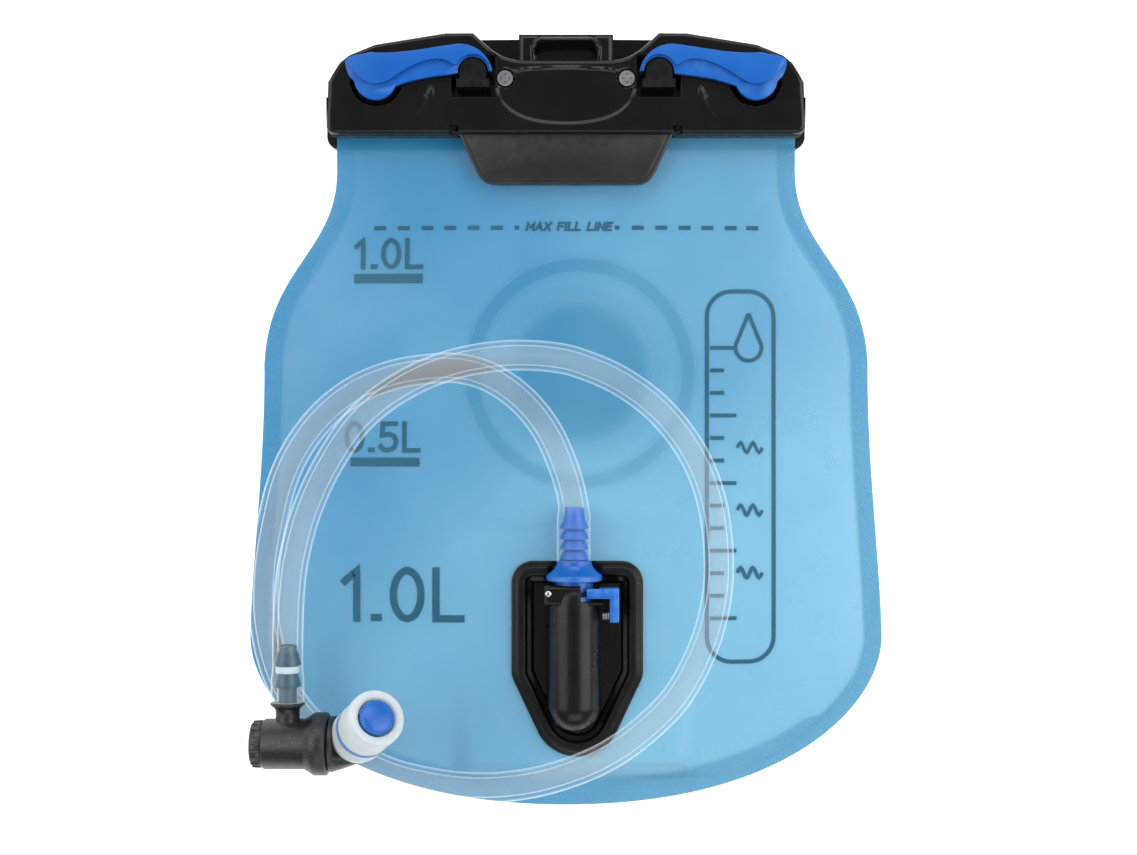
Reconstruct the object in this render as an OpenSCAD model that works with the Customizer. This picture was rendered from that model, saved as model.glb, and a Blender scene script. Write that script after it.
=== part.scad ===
// Hydration bladder: welded film reservoir with a clamp closure, a quick-release drinking port,
// a coiled drinking hose, and an elbow with a shut-off and a bite valve.
// It lies on its back. +Z points out of the front face, +Y towards the closure, +X to the right.
// The origin is on the table, under the middle of the reservoir with its closure. Millimetres.

/* [Reservoir film] */
// Widest distance over the two welded side edges
bag_w = 204; // [200:1:208]
// Half width of the straight neck that enters the closure
neck_half_w = 73.3; // [72:0.1:74]
// Height of the slack front film above the back film, at its middle
dome_h = 7.6; // [6:0.1:7.6]
// Thickness of one layer of film
film_t = 0.4; // [0.3:0.05:0.5]
// Width of the welded edge along the sides
weld_band = 6; // [4:0.5:8]

/* [Closure] */
// Half width of the front cover
cover_half_w = 75.6; // [75:0.1:76.4]
// Height of the front cover's face above the table
cover_top_z = 14.5; // [14.3:0.1:14.7]
// Height of the back jaw's clamping face
jaw_z = 5; // [4.8:0.1:5.1]
// Distance of each lever pivot from the middle
lever_x = 59.8; // [59:0.1:60.5]
// Distance of each locking post from the middle
post_x = 29.2; // [29:0.1:29.5]

/* [Port and plug] */
// Middle of the port and of its plug, across the bag
port_x = 2.6; // [2:0.1:3]
// Height of the plug's axis above the table
plug_z = 13.5; // [13.4:0.1:13.6]
// Radius of the capsule that covers the check valve
capsule_r = 8.4; // [8.2:0.1:8.6]

/* [Hose and mouthpiece] */
// Outer radius of the hose
hose_r = 4.8; // [4.6:0.1:4.8]
// Radius of the hose's bore
hose_bore_r = 3.2; // [3:0.1:3.3]
// Radius of the elbow's shut-off barrel
barrel_r = 7.8; // [7.6:0.1:7.9]
// Radius of the bite valve's sleeve
valve_r = 8.7; // [8.4:0.1:8.9]

/* [Hidden] */
$fn = 48;
eps = 0.01;

// --- closure ---
cover_bottom_y = 91.2;
cover_top_y = 123.4;
cover_skirt_z = 9.2;
frame_z = 6.1;
rear_block_z = 6.6;
rear_block_y = 112;
hinge_y = 118;
hinge_z = 9.6;
hinge_pin_r = 1.2;
knuckle_x = 42;
lug_w = 8;
lug_r = 2.6;
running_gap = 0.05;
lever_y = 107.9;
lever_z = 14.9;
lever_step_z = 16.9;
lever_top_z = 18.4;
lever_foot_r = 6.6;
lever_recess_r = 7.8;
lever_recess_z = 12.5;
lever_pin_r = 1.6;
post_y = 110;
post_r = 4.2;
post_half_w = 5.2;
post_bottom_y = 105.2;
post_top_z = 17.4;
window_half_w = 7;
window_bottom_y = 102.6;
window_top_y = 116;
screw_x = 19.2;
screw_y = 108.5;
tab_z = 7.4;
tab_t = 4.2;
tab_top_y = 93.6;
tab_bottom_y = 75.6;
hanger_half_w = 15;
hanger_y = 115;
pocket_half_w = 9.8;
pocket_y = [115, 121.2];

// --- reservoir film ---
bag_bottom_y = -123.4;
neck_top_y = 98;
neck_low_y = 81;
bottom_weld = 8.5;
belly_y = -30;
seam_z = 0.45;
side_scale = bag_w / 204;

// --- port ---
flange_z = 7;
flange_t = 1.6;
flange_top_y = -44.1;
flange_half_w = 21;
tub_floor_z = 2.6;
tub_t = 1.2;
plate_top_z = 6.4;
collar_y = [-57.2, -50.9];
collar_half_w = 9.4;
capsule_low_y = -97.5;
socket_r = 6.2;
socket_end_y = -72;
latch_y = -53.8;
latch_t = 1.2;
latch_travel = 1.5;
plug_base_y = -49.9;
plug_neck_y = -43.8;
plug_base_r = 8.8;
plug_neck_r = 5.4;
plug_tip_y = -26.7;
barb_pitch = 3.25;
barb_r = 4.3;
stem_r = 3.25;
spigot_r = 6;

// --- elbow and mouthpiece ---
neck_x = -86.5;
elbow_y = -99.9;
elbow_z = 21.6;
hose_end_y = -86.8;
barrel_x = [-97.6, -73.8];
knob_t = 3.7;
bell_x = -80.7;
bell_r = 9.7;
valve_base = [-64.3, -96.8, 24];
valve_lean = 35.6;
valve_turn = 47;
valve_len = 22;

// Route of the hose's centreline, from the plug round the loop to the elbow
hose_route = [
    [2.4, -43.7, 13.5], [2.4, -34, 13.5], [2.2, -25, 13.6], [-0.8, -14, 13.7], [-6, -2.5, 13.8],
    [-13.6, 7, 13.8], [-23, 13.8, 13.6], [-33, 17, 13.3], [-43, 17, 12.8], [-55, 15, 11.9],
    [-66.5, 10.4, 10.9], [-76, 3.4, 10], [-83.6, -5.4, 8.9], [-89, -15, 7.8], [-92.6, -26, 6.9],
    [-96.4, -47, 6.2], [-96, -66, 6.6], [-90.5, -84, 6.9], [-78.5, -99, 6.9], [-60, -110.3, 6.8],
    [-44, -115, 6.6], [-28, -116.6, 7], [-12, -114.8, 9.4], [2.5, -110.2, 12.4], [14.5, -104.4, 13.7],
    [25.2, -96.6, 13.6], [35.2, -86.4, 13.2], [43, -72, 13], [47.3, -57, 13.2], [48.2, -42, 13.4],
    [46, -25, 13.5], [40.2, -10, 13.6], [30, 3.4, 13.7], [17.4, 13, 13.8], [4, 18.8, 14.8],
    [-5, 20.6, 17.2], [-14, 21, 20.4], [-21, 20.6, 22.2], [-28, 19.6, 23], [-35, 18, 23.3],
    [-43, 15.2, 23.2], [-51, 11.2, 22.3], [-59, 6, 19.4], [-66.6, -0.8, 15.2], [-73.2, -9.6, 11.6],
    [-79, -19.8, 9.8], [-83.4, -31.4, 11], [-85.8, -43.5, 14.8], [-86.4, -52, 18], [-86.5, -60, 20.4],
    [-86.5, -68, 21.5], [-86.5, -76, 21.6], [-86.5, -86.8, 21.6]
];

// --- curves ---
function bez(a, b, c, d, t) =
    a * pow(1 - t, 3) + 3 * b * t * pow(1 - t, 2) + 3 * c * t * t * (1 - t) + d * pow(t, 3);
function bez_run(a, b, c, d, n, first = 0) = [for (i = [first:n]) bez(a, b, c, d, i / n)];
function arc(cx, cy, r, a0, a1, n) =
    [for (i = [0:n]) let (a = a0 + (a1 - a0) * i / n) [cx + r * cos(a), cy + r * sin(a)]];
function ramp(a, b, v) = let (t = min(max((v - a) / (b - a), 0), 1)) t * t * (3 - 2 * t);
function flip(points) = [for (i = [len(points) - 1:-1:0]) [-points[i][0], points[i][1]]];
function unit(v) = v / norm(v);

// --- reservoir outline, from the neck's mouth to the middle of the bottom edge ---
shoulder = [97.5, 19];
hip = [102, -69];
half_edge = [
    for (p = concat(
        [for (i = [0:4]) [neck_half_w, neck_top_y - (neck_top_y - neck_low_y) * i / 4]],
        bez_run([neck_half_w, neck_low_y], [neck_half_w, 56], [96, 51], shoulder, 9, 1),
        bez_run(shoulder, [97.2, -13], [101.5, -44], hip, 10, 1),
        bez_run(hip, [102, -91], [72, bag_bottom_y], [0, bag_bottom_y], 14, 1)
    )) [p[0] * (p[1] > neck_low_y ? 1 : side_scale), p[1]]
];

// Height of the back film: flat on the table, rising to the clamping face at the neck
function back_z(y) = (jaw_z + 0.05) * ramp(46, 85, y);

// Level spot of the front film under the port's flange, 1 on the spot and 0 away from it
function port_spot(x, y) =
    let (dx = abs(x - port_x - 1) - flange_half_w - 11, dy = abs(y + 71.55) - 35.55)
    1 - ramp(0, 8, max(dx, dy));

// Gap between the films at a point, w being the half width of the bag there
function gap_z(x, y, w) =
    let (
        inner_w = max(w - weld_band, 0.1),
        u = min(abs(x) / inner_w, 1),
        v = min(max((belly_y - y) / (belly_y - bag_bottom_y - bottom_weld), 0), 1),
        slack = dome_h * pow(1 - u * u, 0.6) * pow(1 - v * v * v, 0.6) * (1 - ramp(36, 86, y)),
        spot = port_spot(x, y)
    )
    slack * (1 - spot) + (flange_z - seam_z - film_t) * spot;

// Grid of one film layer: rows follow the outline, columns crowd towards the edges
function column(j, n) = sin(90 * (2 * j / n - 1));
function film_points(n, z_of, t) = [
    for (side = [0, 1]) for (p = half_edge) for (j = [0:n])
        let (w = max(p[0], 0.3), x = w * column(j, n)) [x, p[1], z_of(x, p[1], w) + side * t]
];
function sheet_faces(rows, n) =
    let (
        base = rows * (n + 1),
        cell = function (s, i, j) s * base + i * (n + 1) + j,
        inner = [
            for (i = [0:rows - 2]) for (j = [0:n - 1]) for (k = [0:3])
                let (a = cell(0, i, j), b = cell(0, i, j + 1), c = cell(0, i + 1, j + 1), d = cell(0, i + 1, j))
                [[a, c, b], [a, d, c], [base + a, base + b, base + c], [base + a, base + c, base + d]][k]
        ],
        ring = concat(
            [for (j = [0:n]) j],
            [for (i = [1:rows - 1]) i * (n + 1) + n],
            [for (j = [n - 1:-1:0]) (rows - 1) * (n + 1) + j],
            [for (i = [rows - 2:-1:1]) i * (n + 1)]
        ),
        rim = [
            for (i = [0:len(ring) - 1]) for (k = [0, 1])
                let (a = ring[i], b = ring[(i + 1) % len(ring)])
                [[a, b, base + b], [a, base + b, base + a]][k]
        ]
    )
    concat(inner, rim);

module sheet(n, z_of, t) {
    polyhedron(film_points(n, z_of, t), sheet_faces(len(half_edge), n));
}

// --- shared shapes ---
// Cylinder along +Y from y0 to y1
module bar_y(x, z, y0, y1, r0, r1) {
    translate([x, y0, z]) rotate([-90, 0, 0]) cylinder(h = y1 - y0, r1 = r0, r2 = r1);
}
// Cylinder along +X from x0 to x1
module bar_x(y, z, x0, x1, r0, r1) {
    translate([x0, y, z]) rotate([0, 90, 0]) cylinder(h = x1 - x0, r1 = r0, r2 = r1);
}
module block(low, high) {
    translate(low) cube(high - low);
}
// Ring-shaped coils of a small compression spring along +Y
module spring_y(x, z, y0, y1, r, wire_r, turns) {
    for (i = [0:turns - 1])
        translate([x, y0 + wire_r + (y1 - y0 - 2 * wire_r) * i / (turns - 1), z])
            rotate([90, 0, 0]) rotate_extrude() translate([r, 0]) circle(wire_r, $fn = 16);
    block([x - r - wire_r * 0.5, y0 + wire_r, z - wire_r], [x - r + wire_r * 0.5, y1 - wire_r, z + wire_r]);
}
module both_sides() {
    children();
    mirror([1, 0, 0]) children();
}

// --- closure ---
function half_cover(grow) = [
    [cover_half_w + grow, cover_bottom_y - grow], [cover_half_w + grow - 0.4, 107.4],
    [70.5 + grow, 115.1 + grow / 2], [60.2, 119.4 + grow / 2], [38, 123 + grow / 2], [0, cover_top_y]
];
module cover_outline(grow) {
    half = half_cover(grow);
    offset(r = 2.5) offset(delta = -2.5) polygon(concat(half, flip([for (i = [0:4]) half[i]])));
}
module dip_outline() {
    curve = bez_run([32, cover_top_y + 2], [25, 119.5], [22, 114.3], [13, 114.3], 10);
    polygon(concat(curve, flip(curve)));
}
module post_outline(r, half_w, low_y) {
    translate([post_x, post_y]) circle(r);
    translate([post_x - r, low_y + 1]) square([2 * r, post_y - low_y - 1]);
    translate([post_x - half_w, low_y]) square([2 * half_w, 2.6]);
}
module windows() {
    both_sides() translate([post_x - window_half_w, window_bottom_y, 0])
        cube([2 * window_half_w, window_top_y - window_bottom_y, 30]);
}
module hinge_slots() {
    both_sides() block([knuckle_x - lug_w / 2 - 0.5, hinge_y - lug_r - 0.6, 0],
                       [knuckle_x + lug_w / 2 + 0.5, cover_top_y + 5, hinge_z + lug_r + 0.4]);
}
module hinge_bore(r) {
    both_sides() bar_x(hinge_y, hinge_z, knuckle_x - 9, knuckle_x + 9, r, r);
}

module back_jaw() {
    color([0.06, 0.06, 0.065]) difference() {
        union() {
            intersection() {
                linear_extrude(jaw_z) offset(r = 4) offset(delta = -4) polygon(concat(
                    [[76.6, 87.6], [76.4, 107], [70.5, 114.6], [60, 118.8], [38, 123], [0, cover_top_y]],
                    flip([[76.6, 87.6], [76.4, 107], [70.5, 114.6], [60, 118.8], [38, 123]])));
                union() {
                    block([-80, 80, 0], [80, rear_block_y - 0.5, jaw_z]);
                    block([-80, 80, 0], [80, cover_top_y + 1, 3]);
                }
            }
            both_sides() translate([0, 0, 1]) linear_extrude(post_top_z - 1)
                post_outline(post_r, post_half_w, post_bottom_y);
            both_sides() bar_x(hinge_y, hinge_z, knuckle_x - lug_w / 2, knuckle_x + lug_w / 2, lug_r, lug_r);
            both_sides() block([knuckle_x - lug_w / 2, hinge_y - lug_r, 1],
                               [knuckle_x + lug_w / 2, hinge_y + lug_r, hinge_z]);
            block([-hanger_half_w, hanger_y, 1], [hanger_half_w, cover_top_y, 9.4]);
        }
        block([-pocket_half_w, pocket_y[0] - 0.2, 2.6], [pocket_half_w, pocket_y[1], 12]);
        block([-70.1, 93.4, 3.4], [70.1, 96.6, 8]);
        hinge_bore(hinge_pin_r + running_gap);
    }
}

module jaw_seal() {
    color([0.45, 0.47, 0.5]) block([-70, 93.5, 3.45], [70, 96.5, jaw_z]);
}

module jaw_hinge_pins() {
    color([0.7, 0.71, 0.73]) both_sides()
        bar_x(hinge_y, hinge_z, knuckle_x - 8.6, knuckle_x + 8.6, hinge_pin_r, hinge_pin_r);
}

module front_cover() {
    color([0.05, 0.05, 0.055]) difference() {
        hull() {
            translate([0, 0, rear_block_z]) linear_extrude(3) cover_outline(0);
            translate([0, 0, cover_top_z - 1.2]) linear_extrude(0.2) cover_outline(-0.7);
            translate([0, 0, cover_top_z - 0.2]) linear_extrude(0.2) cover_outline(-1.6);
        }
        block([-90, 80, 0], [90, rear_block_y, cover_skirt_z]);
        translate([0, 0, -1]) linear_extrude(30) dip_outline();
        windows();
        hinge_slots();
        hinge_bore(hinge_pin_r + running_gap);
        both_sides() translate([lever_x, lever_y, lever_recess_z]) cylinder(h = 5, r = lever_recess_r);
        both_sides() translate([lever_x, lever_y, 5]) cylinder(h = 10, r = lever_pin_r + 0.02);
        both_sides() translate([screw_x, screw_y, 5]) cylinder(h = 20, r = 1.3);
        both_sides() translate([screw_x, screw_y, cover_top_z - 1.4]) cylinder(h = 5, r = 2.6);
        translate([0, 0, cover_top_z - 0.5]) linear_extrude(2) polygon(concat(
            bez_run([-21.8, 105], [-20, 96.4], [-10, 94.2], [0, 94.2], 8),
            bez_run([0, 94.2], [10, 94.2], [20, 96.4], [21.8, 105], 8, 1),
            bez_run([16, 111.6], [8, 112.6], [-8, 112.6], [-16, 111.6], 8)));
        block([-34.4, 80, tab_z - 0.1], [34.4, tab_top_y + 0.1, tab_z + tab_t + 0.1]);
    }
}

module clamp_frame() {
    color([0.08, 0.08, 0.085]) difference() {
        intersection() {
            translate([0, 0, frame_z]) linear_extrude(cover_skirt_z - frame_z - 0.05) cover_outline(0.2);
            block([-90, 80, 0], [90, rear_block_y - 0.2, 20]);
        }
        windows();
        both_sides() translate([lever_x, lever_y, 5]) cylinder(h = 10, r = 3.3);
        both_sides() translate([screw_x, screw_y, 5]) cylinder(h = 20, r = 1.05);
        block([-34.4, 80, tab_z - 0.1], [34.4, tab_top_y + 0.1, tab_z + tab_t + 0.1]);
    }
}

module pull_tab() {
    color([0.16, 0.16, 0.165]) translate([0, 0, tab_z]) intersection() {
        linear_extrude(tab_t) offset(r = 3) offset(delta = -3) polygon([
            [-34.2, tab_top_y + 4], [34.2, tab_top_y + 4], [34.2, 92], [25.5, tab_bottom_y],
            [-25.5, tab_bottom_y], [-34.2, 92]]);
        block([-40, 70, -1], [40, tab_top_y, 10]);
    }
}

module jaw_screws() {
    color([0.1, 0.1, 0.11]) both_sides() {
        translate([screw_x, screw_y, frame_z + 0.4]) cylinder(h = 8, r = 1);
        difference() {
            translate([screw_x, screw_y, cover_top_z - 1.35]) cylinder(h = 1.3, r = 2.45);
            for (turn = [0, 90]) translate([screw_x, screw_y, cover_top_z])
                rotate([0, 0, turn]) cube([3.2, 0.6, 1.4], center = true);
        }
    }
}

module lever_pins() {
    color([0.7, 0.71, 0.73]) both_sides() {
        translate([lever_x, lever_y, 8.9]) cylinder(h = lever_step_z - 8.9, r = lever_pin_r);
        translate([lever_x, lever_y, 7.2]) cylinder(h = 1.8, r = 3.1);
    }
}

// Outline of the lever on the +X side: round foot, arm, and a hook round the locking post
module lever_outline() {
    hook = post_r + 0.55;
    translate([lever_x, lever_y]) circle(lever_foot_r);
    polygon(concat(
        bez_run([69.2, 112.2], [69.8, 115.4], [66, 114.9], [61.5, 116.2], 6),
        bez_run([61.5, 116.2], [52, 115.4], [44, 117.6], [34, 118.8], 8, 1),
        bez_run([34, 118.8], [28, 119.2], [23.6, 114.5], [23.2, 110.4], 10, 1),
        arc(post_x, post_y, hook, 174, -4, 14),
        bez_run([37.2, 109.2], [44, 108.6], [50, 107], [53.4, 104.6], 6),
        bez_run([63, 102.2], [67, 104.8], [67, 108], [69.2, 112.2], 6)
    ));
}
module lever_raised_outline() {
    intersection() {
        offset(delta = -0.5) lever_outline();
        polygon(concat(
            [[72, 122], [18, 122], [18, 109.5], [33.6, 109.5]],
            bez_run([35, 111.4], [40, 116.4], [48, 112.6], [54, 108.2], 8),
            bez_run([54, 108.2], [59.5, 104], [63, 104.4], [70, 113.2], 8, 1)));
    }
}
module lever_shape() {
    difference() {
        union() {
            translate([0, 0, lever_z]) linear_extrude(lever_step_z - lever_z) lever_outline();
            translate([0, 0, lever_step_z]) linear_extrude(lever_top_z - lever_step_z) lever_raised_outline();
            translate([lever_x, lever_y, lever_recess_z + 0.1]) cylinder(h = 4, r = lever_foot_r);
        }
        translate([lever_x, lever_y, lever_recess_z - 1])
            cylinder(h = lever_step_z - lever_recess_z + 1.1, r = lever_pin_r + running_gap);
    }
}
module lever_right() {
    color([0.02, 0.3, 0.72]) lever_shape();
}
module lever_left() {
    color([0.02, 0.3, 0.72]) mirror([1, 0, 0]) lever_shape();
}

// --- reservoir ---
module film_front() {
    color([0.45, 0.74, 0.9]) difference() {
        sheet(28, function (x, y, w) back_z(y) + seam_z + gap_z(x, y, w), film_t);
        translate([0, 0, -1]) linear_extrude(20) port_outline(-5.2);
    }
}
module film_back() {
    color([0.36, 0.66, 0.85]) sheet(2, function (x, y, w) back_z(y), film_t);
}

// --- port ---
module port_outline(grow) {
    x = port_x + 1;
    w = flange_half_w;
    hull() {
        for (s = [-1, 1]) translate([x + s * (w - 7), flange_top_y - 7]) circle(7 + grow);
        for (s = [-1, 1]) translate([x + s * (w - 8), -79]) circle(8 + grow);
        translate([x, -92.5]) circle(14 + grow);
    }
}
module port_flange() {
    color([0.05, 0.05, 0.055]) difference() {
        union() {
            translate([0, 0, flange_z + 0.02]) linear_extrude(flange_t) port_outline(0);
            translate([0, 0, flange_z + 1]) linear_extrude(flange_t) port_outline(-1.6);
            translate([0, 0, tub_floor_z]) linear_extrude(flange_z) port_outline(-5.5);
        }
        translate([0, 0, tub_floor_z + tub_t]) linear_extrude(20) port_outline(-6.7);
        translate([0, 0, flange_z + flange_t]) linear_extrude(20) port_outline(-4.6);
        block([port_x - 9.3, -54, plug_z - 5.6], [port_x + 9.3, -40, 20]);
        bar_y(port_x, plug_z, -54, plug_base_y + 0.3, spigot_r + 0.2, spigot_r + 0.2);
        translate([port_x, -84, 0]) cylinder(h = 10, r = 5);
    }
}

module valve_housing() {
    cap_y = capsule_low_y + capsule_r;
    color([0.05, 0.05, 0.055]) difference() {
        union() {
            intersection() {
                translate([0, 0, tub_floor_z + tub_t + 0.02]) linear_extrude(plate_top_z - tub_floor_z - tub_t)
                    port_outline(-7.4);
                block([-20, -110, 0], [30, collar_y[1], 20]);
            }
            block([port_x - collar_half_w, collar_y[0], 4], [port_x + collar_half_w, collar_y[1], plug_z + 7.4]);
            block([port_x + collar_half_w - 1, collar_y[0] + 1.2, 4],
                  [port_x + 14.4, collar_y[1], plug_z - 0.6]);
            bar_y(port_x, plug_z, cap_y, collar_y[0] + 1, capsule_r, capsule_r);
            translate([port_x, cap_y, plug_z]) sphere(capsule_r);
            translate([port_x, cap_y, 4]) cylinder(h = plug_z - 4, r = capsule_r);
            block([port_x - capsule_r, cap_y, 4], [port_x + capsule_r, collar_y[0] + 1, plug_z]);
        }
        bar_y(port_x, plug_z, socket_end_y, collar_y[1] + 1, socket_r, socket_r);
        bar_y(port_x, plug_z, -93, socket_end_y + 1, 5, 5);
        translate([port_x, -84, 0]) cylinder(h = plug_z, r = 3.6);
        block([port_x - 9.4, latch_y - latch_t / 2 - 0.1, 4.4],
              [port_x + 20, latch_y + latch_t / 2 + 0.1, plug_z + 5.1]);
        block([port_x + 2.2, collar_y[0] + 1.2, plug_z - 0.6], [port_x + 20, collar_y[1] + 1, plug_z + 8]);
        linear_extrude(flange_z + 2.8) difference() {
            translate([-30, -120]) square([70, 80]);
            port_outline(-6.9);
        }
    }
}

module latch_plate() {
    color([0.72, 0.73, 0.75]) difference() {
        block([port_x - 7.6, latch_y - latch_t / 2, 4.8], [port_x + 9.2, latch_y + latch_t / 2, plug_z + 4.8]);
        bar_y(port_x + latch_travel, plug_z, latch_y - 2, latch_y + 2, 6.3, 6.3);
    }
}

module release_button() {
    z0 = plug_z - 0.3;
    z1 = plug_z + 7;
    color([0.02, 0.33, 0.76]) difference() {
        union() {
            block([port_x + 3.9, collar_y[0] + 2.2, z0], [port_x + 14, collar_y[1] - 1, z1]);
            block([port_x + 11.1, collar_y[0] - 5.2, z0], [port_x + 14, collar_y[1] - 1, z1]);
        }
        block([port_x - 1, latch_y - latch_t / 2 - 0.02, z0 - 1],
              [port_x + 9.25, latch_y + latch_t / 2 + 0.02, plug_z + 4.85]);
        hull() for (shift = [0, latch_travel])
            bar_y(port_x + shift, plug_z, collar_y[0], collar_y[1], spigot_r + 0.3, spigot_r + 0.3);
    }
}

module button_spring() {
    color([0.72, 0.73, 0.75]) translate([port_x + 10.85, collar_y[0] - 3.4, plug_z + 2.4])
        rotate([0, 0, 90]) spring_y(0, 0, -0.2, 2, 1.2, 0.25, 4);
}

module check_poppet() {
    color([0.86, 0.86, 0.84]) {
        bar_y(port_x, plug_z, -77.5, -75.6, 4.8, 4.2);
        bar_y(port_x, plug_z, -86, -77.4, 1.3, 1.3);
        bar_y(port_x, plug_z, -75.7, -71, 1.3, 1.3);
        bar_y(port_x, plug_z, -71.1, -70.1, 3.4, 3.4);
    }
}

module poppet_spring() {
    color([0.72, 0.73, 0.75]) spring_y(port_x, plug_z, -92.6, -77.7, 2.6, 0.35, 7);
}

module hose_plug() {
    color([0.02, 0.33, 0.76]) difference() {
        union() {
            bar_y(port_x, plug_z, plug_base_y, plug_base_y + 1.9, plug_base_r, plug_base_r);
            translate([port_x, plug_base_y + 1.9, plug_z]) rotate([-90, 0, 0]) rotate_extrude() polygon(concat(
                [[0, 0]],
                bez_run([plug_base_r - 0.3, 0], [plug_base_r - 2.6, 1.4], [plug_neck_r + 0.2, 2.6],
                        [plug_neck_r, 4.5], 6),
                [[0, 4.5]]));
            bar_y(port_x, plug_z, plug_neck_y - 0.2, plug_tip_y, stem_r, stem_r);
            for (i = [0:3]) bar_y(port_x, plug_z, plug_neck_y + barb_pitch * i + 0.5,
                                  plug_neck_y + barb_pitch * i + 2.9, barb_r, stem_r);
            bar_y(port_x, plug_z, -53.2, plug_base_y + 0.1, spigot_r, spigot_r);
            bar_y(port_x, plug_z, -54.5, -53.1, 4.6, 4.6);
            bar_y(port_x, plug_z, -70, -54.4, spigot_r, spigot_r);
        }
        translate([port_x, -64, plug_z]) rotate([90, 0, 0]) rotate_extrude()
            translate([spigot_r, -0.9]) square([2.2, 1.8], center = true);
        bar_y(port_x, plug_z, -71, plug_tip_y + 1, 2.2, 2.2);
        block([port_x - 10, plug_base_y - 0.1, 0], [port_x + 10, plug_neck_y + 0.6, plug_z - plug_neck_r]);
    }
}

module plug_o_ring() {
    color([0.1, 0.1, 0.1]) translate([port_x, -63.1, plug_z]) rotate([90, 0, 0]) rotate_extrude()
        translate([5.5, 0]) circle(0.6, $fn = 24);
}

// --- hose ---
hose_sides = 12;
function route_dir(i) = unit(hose_route[min(i + 1, len(hose_route) - 1)] - hose_route[max(i - 1, 0)]);
function hose_ring(i, r) =
    let (
        along = i == 0 ? [0, 1, 0] : i == len(hose_route) - 1 ? [0, -1, 0] : route_dir(i),
        side = unit(cross(along, [0, 0, 1])),
        up = cross(side, along)
    )
    [for (k = [0:hose_sides - 1]) let (a = 360 * k / hose_sides)
        hose_route[i] + r * (side * cos(a) + up * sin(a))];

module hose() {
    rings = len(hose_route);
    skin = rings * hose_sides;
    points = [for (r = [hose_r, hose_bore_r]) for (i = [0:rings - 1]) each hose_ring(i, r)];
    walls = [
        for (i = [0:rings - 2]) for (k = [0:hose_sides - 1]) for (part = [0:3])
            let (
                k2 = (k + 1) % hose_sides,
                a = i * hose_sides + k,
                b = i * hose_sides + k2,
                c = a + hose_sides,
                d = b + hose_sides
            )
            [[a, b, d], [a, d, c], [skin + a, skin + d, skin + b], [skin + a, skin + c, skin + d]][part]
    ];
    ends = [
        for (k = [0:hose_sides - 1]) for (part = [0:3])
            let (
                k2 = (k + 1) % hose_sides,
                last = (rings - 1) * hose_sides
            )
            [[k, skin + k2, k2], [k, skin + k, skin + k2],
             [last + k, last + k2, skin + last + k2], [last + k, skin + last + k2, skin + last + k]][part]
    ];
    color([0.8, 0.88, 0.9]) polyhedron(points, concat(walls, ends));
}

// --- elbow and mouthpiece ---
module elbow_barb() {
    color([0.05, 0.2, 0.25]) difference() {
        union() {
            bar_y(neck_x, elbow_z, hose_end_y + 0.1, -69.2, 2.9, 2.9);
            bar_y(neck_x, elbow_z, -75.3, -70.8, 4.2, 3);
            bar_y(neck_x, elbow_z, -82, -78, 4.2, 3.2);
        }
        bar_y(neck_x, elbow_z, hose_end_y - 1, -69, 2, 2);
    }
}

module barb_clip_ring() {
    color([0.7, 0.8, 0.82]) difference() {
        bar_y(neck_x, elbow_z, -77.8, -75.5, 3.7, 3.7);
        bar_y(neck_x, elbow_z, -78, -75, 2.92, 2.92);
    }
}

module elbow_body() {
    color([0.07, 0.07, 0.075]) difference() {
        union() {
            bar_y(neck_x, elbow_z, hose_end_y - 2, hose_end_y, 4.2, 5.3);
            bar_y(neck_x, elbow_z, elbow_y, hose_end_y - 1.9, 3.75, 3.75);
            bar_x(elbow_y, elbow_z, barrel_x[0] + knob_t, bell_x, barrel_r, barrel_r);
            bar_x(elbow_y, elbow_z, bell_x - eps, bell_x + 2.4, barrel_r, bell_r);
            bar_x(elbow_y, elbow_z, bell_x + 2.4 - eps, barrel_x[1], bell_r, bell_r);
        }
        bar_x(elbow_y, elbow_z, barrel_x[0], barrel_x[1] - 4.2, 5.6, 5.6);
        bar_x(elbow_y, elbow_z, barrel_x[1] - 4.4, barrel_x[1] + 1, 7.2, 7.2);
        bar_y(neck_x, elbow_z, elbow_y, hose_end_y + 1, 2.1, 2.1);
    }
}

module shutoff_knob() {
    color([0.07, 0.07, 0.075]) difference() {
        bar_x(elbow_y, elbow_z, barrel_x[0], barrel_x[0] + knob_t - 0.1, 6.7, 7.2);
        for (i = [0:5]) translate([barrel_x[0], elbow_y, elbow_z]) rotate([60 * i, 0, 0])
            translate([0, 4.4, 0]) cube([1.6, 3.4, 1], center = true);
    }
}

module shutoff_rotor() {
    color([0.8, 0.82, 0.82]) difference() {
        bar_x(elbow_y, elbow_z, barrel_x[0] + knob_t - 0.1, barrel_x[1] - 4.6, 5.5, 5.5);
        bar_x(elbow_y, elbow_z, neck_x - 2.4, barrel_x[1], 2.4, 2.4);
        bar_y(neck_x, elbow_z, elbow_y, elbow_y + 8, 2.1, 2.1);
    }
}

module valve_axis() {
    translate(valve_base) rotate([0, 0, valve_turn]) rotate([0, valve_lean, 0]) children();
}

module outlet_collar() {
    color([0.07, 0.07, 0.075]) difference() {
        union() {
            bar_x(elbow_y, elbow_z, barrel_x[1] - 4, barrel_x[1] + 3, 7.1, 7.1);
            hull() {
                bar_x(elbow_y, elbow_z, barrel_x[1] + 0.3, barrel_x[1] + 2, 8.6, 8.6, $fn = 32);
                valve_axis() translate([0, 0, -3]) cylinder(h = 1, r = 7.6, $fn = 32);
            }
            valve_axis() translate([0, 0, -2.1]) cylinder(h = 6, r = 5.8);
        }
        bar_x(elbow_y, elbow_z, barrel_x[1] - 5, barrel_x[1] + 4.4, 3, 3);
        valve_axis() translate([0, 0, -6]) cylinder(h = 16, r = 3);
    }
}

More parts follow.
